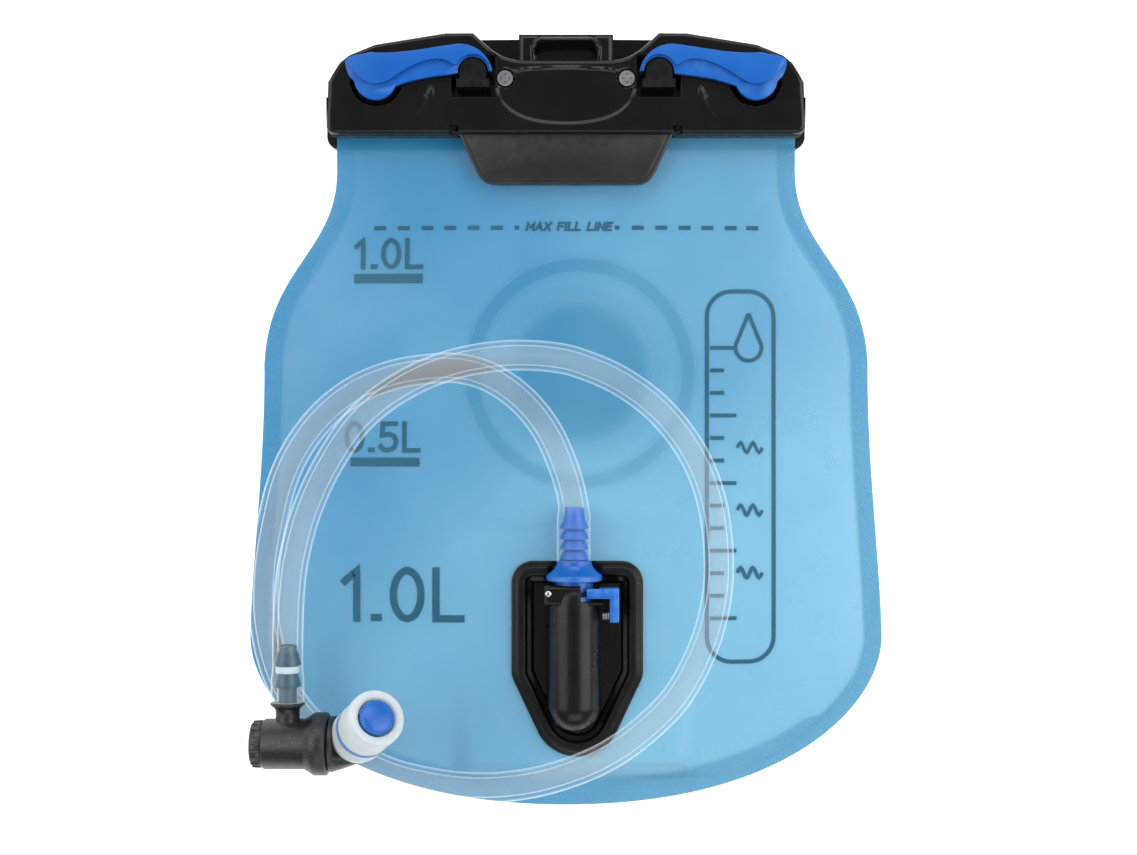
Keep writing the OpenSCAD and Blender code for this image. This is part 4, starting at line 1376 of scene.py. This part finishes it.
@dataclass(frozen=True)
class Closure:
    """Two-part clip across the mouth with a pair of cam levers and a pull tab."""

    cover_half: float = 75.6
    cover_low: float = 91.2
    cover_top: float = 14.5
    fillet: float = 1.4
    step: float = 0.62
    window: tuple[float, float, float, float] = (22.2, 36.2, 102.6, 115.8)
    lever: LeverShape = field(default_factory=LeverShape)
    recess_r: float = 7.8
    screw: Point2 = (19.2, 108.5)

    def high_at(self, x: np.ndarray) -> np.ndarray:
        """Upper edge of the cover along X, with the dip in its middle.

        Args:
            x: Positions across the closure.

        Returns:
            The upper edge at each of them.
        """
        ax = np.abs(x)
        edge = np.interp(ax, [0, 38, 60.2, 68.5, 71.5, 74.0, 75.1, 75.6],
                         [123.4, 123, 119.4, 116.0, 113.6, 109.6, 107.4, 95.0])
        dip = np.array(bezier((32, 125.4), (25, 119.5), (22, 114.3), (13, 114.3), 40))[::-1]
        return np.minimum(edge, np.where(ax < 13, 114.3, np.interp(ax, dip[:, 0], dip[:, 1])))

    def low_at(self, x: np.ndarray) -> np.ndarray:
        """Lower edge of the cover along X, with its corners rounded."""
        reach = np.clip(np.abs(x) - (self.cover_half - 2.5), 0, 2.5)
        return self.cover_low + 2.5 - np.sqrt(np.maximum(2.5 ** 2 - reach ** 2, 0))

    def cover_border(self) -> list[Point2]:
        """The cover's outline as a closed loop.

        Returns:
            The points, in millimetres.
        """
        xs = np.concatenate([np.linspace(-self.cover_half, -73, 12), np.linspace(-72.5, 72.5, 200),
                             np.linspace(73, self.cover_half, 12)])
        return [(float(a), float(b)) for a, b in zip(xs, self.low_at(xs))] + [
            (float(a), float(b)) for a, b in zip(xs[::-1], self.high_at(xs)[::-1])]

    def cover(self) -> bpy.types.Object:
        """Makes the glossy front cover as one relief.

        Returns:
            The piece.
        """
        wx0, wx1, wy0, wy1 = self.window
        marks = sorted({-self.cover_half, -wx1, -wx0, wx0, wx1, self.cover_half})
        xs = np.concatenate([np.linspace(a, b, max(2, int((b - a) / self.step)), endpoint=False)
                             for a, b in zip(marks, marks[1:])] + [[self.cover_half]])
        extra = np.array([0.05, 0.15, 0.32, 0.55, 0.85, 1.25])
        xs = np.unique(np.round(np.concatenate([xs, self.cover_half - extra, extra - self.cover_half]), 4))
        high, low = self.high_at(xs), self.low_at(xs)
        cut = np.minimum(wy1, high - 1.0)
        rows = []
        for a, b, n in ((low, np.maximum(low, wy0 + 0 * xs), 26), (np.maximum(low, wy0),
            np.maximum(cut, low), 26),
                        (np.maximum(cut, low), high, 18)):
            t = np.linspace(0, 1, n + 1)[(1 if rows else 0):]
            rows += [a + (b - a) * k for k in t]
        y = np.array(rows)
        x = np.repeat(xs[None, :], len(rows), axis=0)
        border = edge_distance(x, y, self.cover_border())
        near = np.clip(self.fillet - border, 0, self.fillet)
        top = self.cover_top - (self.fillet - np.sqrt(self.fillet ** 2 - near ** 2 + 1e-9))
        ax = np.abs(x)
        hole = (ax > wx0 + 0.01) & (ax < wx1 - 0.01) & (y > wy0) & (y < np.repeat(cut[None, :], len(rows), 0))
        rim = np.maximum(np.maximum(wx0 - ax, ax - wx1), np.maximum(wy0 - y, y - wy1))
        top += 0.28 * np.exp(-((rim - 0.7) / 0.4) ** 2)
        lever = np.hypot(ax - self.lever.pivot[0], y - self.lever.pivot[1])
        top = np.minimum(top, self.cover_top - 2.0 * (1 - ramp(self.recess_r - 0.35, self.recess_r + 0.35,
            lever)))
        head = np.hypot(ax - self.screw[0], y - self.screw[1])
        top -= 1.4 * (1 - ramp(2.3, 2.9, head)) - 0.16 * np.exp(-((head - 3.1) / 0.35) ** 2)
        lens = (bezier((-21.8, 105), (-20, 96.4), (-10, 94.2), (0, 94.2), 24)
                + bezier((0, 94.2), (10, 94.2), (20, 96.4), (21.8, 105), 24, 1)
                + bezier((21.8, 105), (20, 109), (16.5, 110.6), (14, 111.0), 8, 1)
                + bezier((14, 111.0), (8, 111.9), (-8, 111.9), (-14, 111.0), 16, 1)
                + bezier((-14, 111.0), (-16.5, 110.6), (-20, 109), (-21.8, 105), 8, 1)[:-1])
        depth = signed_distance(x, y, lens)
        top -= 0.5 * (1 - ramp(-0.7, 0.25, depth))
        top += 0.22 * np.exp(-((depth - 0.3) / 0.3) ** 2) * (y > 108.5)
        notch = np.maximum(np.abs(ax - 35.5) - 1.1, y - 93.9)
        top -= 2.6 * (1 - ramp(-0.2, 0.3, notch))
        swing = np.degrees(np.arctan2(y - self.lever.pivot[1], self.lever.pivot[0] - ax))
        path = np.abs(lever - 17.6)
        along = ramp(-40.5, -38.5, swing) * (1 - ramp(-7, -5, swing))
        top += 0.22 * np.exp(-(path / 0.5) ** 2) * along
        tip = (swing + 5.0) * math.radians(1) * 17.6
        barb = (tip > -4.4) & (tip < 0) & (path < -tip * 0.42)
        top += 0.22 * barb
        bottom = np.where(y < 112, 9.2, 6.6)
        bottom = np.where((ax > 37.5) & (ax < 46.5) & (y > 114.8), 12.6, bottom)
        top = np.maximum(top, bottom + 0.6)
        middle = hole[:-1, :-1] | hole[1:, 1:] | hole[:-1, 1:] | hole[1:, :-1]
        centre_x, centre_y = (x[:-1, :-1] + x[1:, 1:]) / 2, (y[:-1, :-1] + y[1:, 1:]) / 2
        cx = np.abs(centre_x)
        opening = (cx > wx0) & (cx < wx1) & (centre_y > wy0) & middle
        opening &= centre_y < np.minimum(wy1, self.high_at(centre_x) - 1.0)
        return relief("cover_shell", x, y, top, bottom, ~opening, 38.0)

    def tab(self) -> bpy.types.Object:
        """Makes the tapered pull tab with a fine raised rim.

        Returns:
            The piece.
        """
        half = [(34.2, 93.6), (34.2, 92.0), (31.6, 86.4)]
        corner = bezier((28.9, 80.6), (27.4, 77.4), (25.6, 75.6), (22.4, 75.6), 10)
        side = half + corner
        loop = [(-x, y) for x, y in side] + side[::-1]
        base = prism("tab_base", loop, 7.4, 11.6, 0.6, 4)
        inset = [(-(x - 1.5), y + (1.4 if y < 77 else 0.5)) for x, y in side] + [
            (x - 1.5, y + (1.4 if y < 77 else 0.5)) for x, y in side[::-1]]
        dish = prism("tab_dish", inset, 11.0, 11.75, 0.25, 3)
        return joined("tab_shell", [base, dish])

    def pocket_rim(self) -> bpy.types.Object:
        """Makes the raised lip round the finger recess in the dip.

        Returns:
            The piece.
        """
        x, y = np.meshgrid(np.arange(-14.6, 14.61, 0.3), np.arange(114.95, 123.2, 0.25))
        loop = [(-9.4, 113.0), (9.4, 113.0)] + arc(7.2, 118.6, 2.5, 0, 90, 6) + arc(-7.2, 118.6, 2.5, 90,
            180, 6)
        reach = signed_distance(x, y, loop)
        top = 9.75 + 0.75 * np.exp(-((reach - 0.75) / 0.5) ** 2)
        top -= 0.35 * ramp(0.3, 1.3, np.maximum(np.abs(x) - 13.2, y - 121.9))
        middle = signed_distance((x[:-1, :-1] + x[1:, 1:]) / 2, (y[:-1, :-1] + y[1:, 1:]) / 2, loop)
        return relief("pocket_lip", x, y, top, np.full(x.shape, 9.3), middle > 0.05, 45.0)

    def build(self) -> None:
        """Makes the closure's pieces and finishes the ones that stay as they are."""
        settle(self.pocket_rim(), "root", GLOSS_BLACK, "jaw_black")
        settle(self.cover(), "front_jaw", GLOSS_BLACK, "jaw_black", "front_cover")
        settle(self.tab(), "front_jaw", SATIN_GREY, "tab_black", "pull_tab")
        for side, word in ((-1, "left"), (1, "right")):
            settle(self.lever.build(side), f"{word}_lever", LEVER_BLUE, "lever_blue", f"lever_{word}")
        for node, finish in (("back_jaw", GLOSS_BLACK), ("clamp_frame", SATIN_GREY), ("jaw_seal", SEAL_GREY),
                             ("jaw_hinge_pins", STEEL), ("jaw_screws", STEEL), ("lever_pins", STEEL)):
            finish.dress(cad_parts[node])


# ---------------------------------------------------------------------------------------------
# Port and hose plug
# ---------------------------------------------------------------------------------------------

@dataclass(frozen=True)
class Port:
    """Welded outlet with a recessed quick-release socket, its button and the hose's plug."""

    axis_x: float = 2.6
    axis_z: float = 13.5
    capsule_r: float = 8.4
    capsule_y: tuple[float, float] = (-89.1, -56.5)
    collar: tuple[float, float, float] = (9.4, -57.2, -50.9)
    collar_top: float = 20.9
    plate: float = 6.4
    notch_z: float = 7.9
    plug_base_y: float = -49.9
    grid: float = 0.42

    def flange(self) -> bpy.types.Object:
        """Makes the oval weld flange with its raised ring and sunk tub.

        Returns:
            The piece.
        """
        profile = [(-5.5, 2.6), (-5.5, 7.02), (-0.1, 7.02), (0, 7.2), (0, 8.1), (-0.2, 8.45), (-0.6, 8.6),
            (-1.2, 8.6),
                   (-1.5, 8.75), (-1.6, 9.2), (-1.75, 9.55), (-2.1, 9.7), (-4.1, 9.7), (-4.45, 9.55),
                   (-4.6, 9.2),
                   (-4.65, 8.2), (-4.85, 7.8), (-5.3, 7.6), (-6.2, 7.45), (-6.55, 7.25), (-6.7, 6.9),
                   (-6.7, 4.2),
                   (-7.0, 3.8)]
        loops = [rounded_loop(PORT_CIRCLES, grow) for grow, _ in profile]
        n = len(loops[0])
        verts = []
        for loop, (_, z) in zip(loops, profile):
            for x, y in loop:
                cradle = max(self.notch_z, self.axis_z - math.sqrt(max(9.3 ** 2 - (x - self.axis_x) ** 2, 0)))
                cradled = abs(x - self.axis_x) < 9.3 and y > -54
                verts.append((x, y, min(z, cradle) if cradled else z))
        faces = [[k * n + i, k * n + (i + 1) % n, (k + 1) * n + (i + 1) % n, (k + 1) * n + i]
                 for k in range(len(profile) - 1) for i in range(n)]
        last = (len(profile) - 1) * n
        faces += [list(range(n - 1, -1, -1)), [last + i for i in range(n)]]
        return make_object("flange_shell", verts, faces, 48.0)

    def housing(self) -> bpy.types.Object:
        """Makes the socket: base plate, long rounded capsule, collar and button guide.

        Returns:
            The piece.
        """
        xs = np.arange(-11.4, 18.6, self.grid)
        ys = np.arange(-106.6, -50.7, self.grid)
        ys = np.unique(np.round(np.append(ys[ys < -51.1], [-50.95, -51.05]), 3))
        x, y = np.meshgrid(xs, ys)
        top = np.full(x.shape, self.plate)
        rim = edge_distance(x, y, rounded_loop(PORT_CIRCLES, -7.4))
        top -= 0.8 * (1 - ramp(0, 0.9, rim))
        near = np.clip(y, *self.capsule_y)
        reach = np.hypot(x - self.axis_x, y - near)
        capsule = self.axis_z + np.sqrt(np.maximum(self.capsule_r ** 2 - reach ** 2, 0))
        skirt = self.plate + 6.5 * (1 - ramp(self.capsule_r - 0.3, self.capsule_r + 0.5, reach))
        top = np.maximum(top, np.where(reach < self.capsule_r - 0.05, capsule, skirt))
        half, low, high = self.collar
        sides = np.maximum(np.abs(x - self.axis_x) - half, np.maximum(low - y, y - high))
        block = self.collar_top - 0.9 * (1 - ramp(0.0, 0.9, -sides))
        top = np.where(sides < 0, np.maximum(top, block), top)
        guide = (x > 10) & (x < 17.0) & (y > -56.0)
        top = np.where(guide, np.maximum(top, 12.9), top)
        pocket = (x > self.axis_x + 2.2) & (y > -56.0)
        top = np.where(pocket & (x < 17.0), 12.9, top)
        pocket_two = (x > 11.95) & (x < 17.2) & (y > -63.2)
        top = np.where(pocket_two & (top > 12.9), 12.9, top)
        centre_x, centre_y = (x[:-1, :-1] + x[1:, 1:]) / 2, (y[:-1, :-1] + y[1:, 1:]) / 2
        keep = inside_port(centre_x, centre_y, -7.2)
        return relief("housing_shell", x, y, top, np.full(x.shape, 3.9), keep, 42.0)

    def button(self) -> bpy.types.Object:
        """Makes the L-shaped release button.

        Returns:
            The piece.
        """
        x0, x1, x2, y0, y1, y2 = 6.5, 13.7, 16.6, -62.4, -55.0, -51.9
        loop = [(x1, y0), (x2, y0), (x2, y2), (x0, y2), (x0, y1), (x1, y1)]
        return prism("button_shell", loop, 19.6, 20.5, 0.35, 3)

    def button_body(self) -> bpy.types.Object:
        """Makes the lower part of the button, clear of the plug."""
        loop = [(13.7, -62.4), (16.6, -62.4), (16.6, -51.9), (10.4, -51.9), (10.4, -55.0), (13.7, -55.0)]
        return prism("button_low", loop, 13.2, 19.9, 0.2, 2)

    def plug(self) -> bpy.types.Object:
        """Makes the barbed plug with its flared grip.

        Returns:
            The piece.
        """
        flare = bezier((8.5, 2.0), (6.2, 3.4), (5.6, 4.6), (5.4, 6.1), 12)
        profile = [(0, -20.1), (5.7, -20.1), (6, -19.8), (6, -15.1), (4.9, -15.1), (4.9, -13.2), (6, -13.2),
            (6, -4.7),
                   (4.6, -4.7), (4.6, -3.2), (6, -3.2), (6, 0), (8.5, 0), (8.8, 0.3), (8.8, 1.6), (8.6, 1.95)]
        profile += flare + [(5.4, 6.3), (5.2, 6.5), (3.25, 6.5)]
        for k in range(4):
            start = 6.6 + 3.25 * k
            profile += [(3.3, start), (4.45, start + 0.1), (4.6, start + 0.35), (4.55, start + 0.7),
                (3.4, start + 2.8)]
        profile += [(3.2, 22.6), (2.9, 23.2), (0, 23.2)]
        obj = lathe("plug_shell", profile, (self.axis_x, self.plug_base_y, self.axis_z), (0, 1, 0), 72)
        for v in obj.data.vertices:
            if v.co.z < 8.1 * MM and v.co.y > (self.plug_base_y - 0.01) * MM:
                v.co.z = 8.1 * MM
        return obj

    def build(self) -> list[bpy.types.Object]:
        """Makes the port's pieces.

        Returns:
            The plug, which belongs to the hose.
        """
        settle(self.flange(), "root", PORT_BLACK, "port_black", "port_flange")
        settle(self.housing(), "root", PORT_BLACK, "port_black", "valve_housing")
        button = joined("release_button_shell", [self.button_body(), self.button()])
        settle(button, "release", PLUG_BLUE, "plug_blue", "release_button")
        pin = lathe("latch_pin", [(0, 0), (0.95, 0), (0.95, 0.35), (0.7, 0.55), (0, 0.6)],
                    (-5.5, -53.4, self.collar_top - 0.2), (0, 0, 1), 24)
        settle(pin, "root", STEEL, "steel")
        for node, finish in (("latch_plate", STEEL), ("button_spring", STEEL), ("poppet_spring", STEEL),
                             ("check_poppet", POPPET_WHITE), ("plug_o_ring", RING_RUBBER)):
            finish.dress(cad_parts[node])
        return [settle(self.plug(), "root", PLUG_BLUE, "plug_blue", "hose_plug")]


# ---------------------------------------------------------------------------------------------
# Elbow and mouthpiece
# ---------------------------------------------------------------------------------------------

@dataclass(frozen=True)
class Mouthpiece:
    """Elbow with a shut-off knob, and the bite valve on its swivelling outlet."""

    neck_x: float = -86.5
    elbow_y: float = -99.9
    z: float = 21.6
    barrel: tuple[float, float] = (-97.6, -73.8)
    barrel_r: float = 7.8
    bell: tuple[float, float] = (-80.7, 9.7)
    valve_base: tuple[float, float, float] = (-64.3, -96.8, 24.0)
    valve_lean: float = 35.6
    valve_turn: float = 47.0
    valve_r: float = 8.7
    valve_len: float = 22.0

    def valve_axis(self) -> Vector:
        """Direction in which the bite valve points."""
        lean, turn = math.radians(self.valve_lean), math.radians(self.valve_turn)
        return Vector((math.sin(lean) * math.cos(turn), math.sin(lean) * math.sin(turn), math.cos(lean)))

    def neck(self, name: str, profile: Sequence[Point2]) -> bpy.types.Object:
        """A turned piece on the hose's end, its distances counted down from Y = 0."""
        return lathe(name, profile, (self.neck_x, 0, self.z), (0, -1, 0), 56)

    def elbow(self) -> bpy.types.Object:
        """Makes the elbow's body: neck, barrel and bell.

        Returns:
            The piece.
        """
        cone = self.neck("elbow_neck", [(2.2, 86.9), (5.1, 86.9), (5.35, 87.2), (5.3, 87.7), (4.3, 88.5),
            (3.8, 89.1),
                                        (3.75, 90.5), (3.75, 97.5), (2.2, 97.5)])
        x0, x1 = self.barrel
        b, r = self.bell
        body = lathe("elbow_barrel", [
            (5.6, x0 + 3.75), (7.4, x0 + 3.75), (self.barrel_r, x0 + 4.15), (self.barrel_r, b - 0.3),
            (self.barrel_r + 0.4, b + 0.3), (r - 0.5, b + 1.9), (r, b + 2.6), (r, x1 - 0.45),
            (r - 0.4, x1 - 0.05),
            (7.4, x1), (7.2, x1 - 0.3), (7.2, x1 - 4.3), (5.6, x1 - 4.5)],
            (0, self.elbow_y, self.z), (1, 0, 0), 72)
        return joined("elbow_shell", [cone, body])

    def knob(self) -> bpy.types.Object:
        """Makes the slotted shut-off knob.

        Returns:
            The piece.
        """
        x0 = self.barrel[0]
        disc = lathe("knob_disc", [(0, x0 + 0.2), (2.6, x0 + 0.2), (2.8, x0), (6.3, x0), (6.7, x0 + 0.35),
            (7.15, x0 + 3.2),
                                   (7.0, x0 + 3.55), (0, x0 + 3.55)], (0, self.elbow_y, self.z), (1, 0, 0),
                                   64)
        ribs = [disc]
        for k in range(18):
            a = 2 * math.pi * k / 18
            y, z = self.elbow_y + 6.95 * math.cos(a), self.z + 6.95 * math.sin(a)
            ribs.append(lathe(f"rib_{k}", [(0, x0 + 0.5), (0.35, x0 + 0.6), (0.5, x0 + 3.1), (0, x0 + 3.3)],
                              (0, y, z), (1, 0, 0), 8))
        for k in range(6):
            a = math.pi / 3 * k
            y, z = self.elbow_y + 4.5 * math.cos(a), self.z + 4.5 * math.sin(a)
            ribs.append(lathe(f"slot_{k}", [(0, x0 - 0.12), (0.5, x0 - 0.1), (0.6, x0 + 0.1), (0, x0 + 0.3)],
                              (0, y, z), (1, 0, 0), 10))
        return joined("knob_shell", ribs)

    def collar(self) -> bpy.types.Object:
        """Makes the swivelling outlet collar with its slanted socket.

        Returns:
            The piece.
        """
        x1 = self.barrel[1]
        ring = lathe("collar_ring", [(3, x1 - 3.9), (7.0, x1 - 3.9), (7.1, x1 - 3.7), (7.1, x1 + 0.3),
            (8.3, x1 + 0.35),
                                     (8.6, x1 + 0.6), (8.6, x1 + 1.7), (8.3, x1 + 2.0), (3, x1 + 2.4)],
                     (0, self.elbow_y, self.z), (1, 0, 0), 64)
        start = Vector((x1 + 1.9, self.elbow_y, self.z))
        end = Vector(self.valve_base) - self.valve_axis() * 2.0
        first, last = Vector((1, 0, 0)), self.valve_axis()
        verts: list = []
        faces: list = []
        steps, sides = 8, 56
        for k in range(steps + 1):
            t = k / steps
            centre = start.lerp(end, t)
            normal = first.lerp(last, t).normalized()
            across = normal.cross(Vector((0.0, 1.0, 0.0))).normalized()
            other = normal.cross(across)
            radius = 8.5 + (7.6 - 8.5) * t
            verts += [centre + (across * math.cos(a) + other * math.sin(a)) * radius
                      for a in (2 * math.pi * i / sides for i in range(sides))]
        for k in range(steps):
            faces += [[k * sides + i, k * sides + (i + 1) % sides, (k + 1) * sides + (i + 1) % sides,
                       (k + 1) * sides + i] for i in range(sides)]
        faces += [list(range(sides - 1, -1, -1)), [steps * sides + i for i in range(sides)]]
        sleeve = make_object("collar_sleeve", verts, faces, 40.0)
        spigot = lathe("collar_spigot", [(3, -2.2), (5.7, -2.2), (5.7, 3.6), (5.4, 3.9), (3, 3.9)],
                       self.valve_base, self.valve_axis(), 48)
        return joined("collar_shell", [ring, sleeve, spigot])

    def valve(self) -> list[bpy.types.Object]:
        """Makes the bite valve with its groove, its band and its domed face.

        Returns:
            The pieces.
        """
        r, top = self.valve_r, self.valve_len - 2.5
        axis = self.valve_axis()
        body = lathe("valve_shell", [
            (5.82, -1.9), (r - 0.7, -1.9), (r - 0.3, -1.5), (r, 0.6), (r, 1.6), (r - 0.35, 2.3),
            (r - 0.35, 4.6),
            (r - 0.05, 5.2), (r - 0.05, 5.5), (r - 0.5, 5.55), (r - 0.5, 7.65), (r - 0.05, 7.7),
            (r - 0.15, 8.4),
            (r - 0.25, 12.0), (r, 15.6), (r, top - 1.0), (r - 0.3, top - 0.25), (r - 0.9, top),
            (6.5, top - 0.15),
            (5.9, top - 0.7), (5.6, top - 1.6), (5.6, 4.0), (5.82, 3.9)], self.valve_base, axis, 72)
        band = lathe("band_shell", [(r - 0.45, 5.62), (r + 0.02, 5.62), (r + 0.08, 5.8), (r + 0.08, 7.4),
                                    (r + 0.02, 7.58), (r - 0.45, 7.58)], self.valve_base, axis, 72)
        base = self.valve_len - 4.6
        plunger = lathe("plunger_shell", [(0, 8), (1.6, 8), (1.6, base - 0.1), (5.1, base),
            (5.35, base + 0.3),
                                          (5.35, base + 1.9), (5.0, base + 2.5), (4.2, base + 2.9),
                                          (2.6, base + 3.2),
                                          (0, base + 3.3)], self.valve_base, axis, 56)
        return [settle(body, "mouthpiece", SILICONE, "silicone", "bite_valve"),
                settle(band, "mouthpiece", BAND_BLUE, "band_blue", "valve_band"),
                settle(plunger, "mouthpiece", PLUG_BLUE, "plug_blue", "valve_plunger")]

    def build(self) -> list[bpy.types.Object]:
        """Makes every piece on the hose's drinking end.

        Returns:
            The pieces.
        """
        barb = self.neck("barb_shell", [
            (2.0, 69.2), (2.7, 69.2), (2.9, 69.5), (2.9, 70.7), (3.1, 70.8), (4.2, 75.0), (4.15, 75.25),
            (2.92, 75.3),
            (2.92, 77.9), (3.2, 78.0), (4.2, 81.7), (4.1, 82.0), (2.9, 82.1), (2.9, 86.7), (2.0, 86.7)])
        ring = self.neck("ring_shell", [(2.95, 75.5), (3.55, 75.5), (3.7, 75.65), (3.7, 77.6),
            (3.55, 77.78), (2.95, 77.78)])
        pieces = [settle(barb, "root", BARB_TEAL, "barb_dark", "elbow_barb"),
                  settle(ring, "root", CLIP_PALE, "clip_pale", "barb_clip_ring"),
                  settle(self.elbow(), "root", ELBOW_BLACK, "elbow_black", "elbow_body"),
                  settle(self.knob(), "shutoff", ELBOW_BLACK, "elbow_black", "shutoff_knob"),
                  settle(self.collar(), "mouthpiece", ELBOW_BLACK, "elbow_black", "outlet_collar")]
        ROTOR_WHITE.dress(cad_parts["shutoff_rotor"])
        return pieces + self.valve()


def main() -> None:
    """Builds the scene."""
    logging.basicConfig(level=logging.INFO)
    Studio().build()
    hose = Hose()
    tube_piece = hose.build()
    Reservoir().build()
    Closure().build()
    plug = Port().build()
    end = Mouthpiece().build()
    hose.declare()


if __name__ == "__main__":
    main()
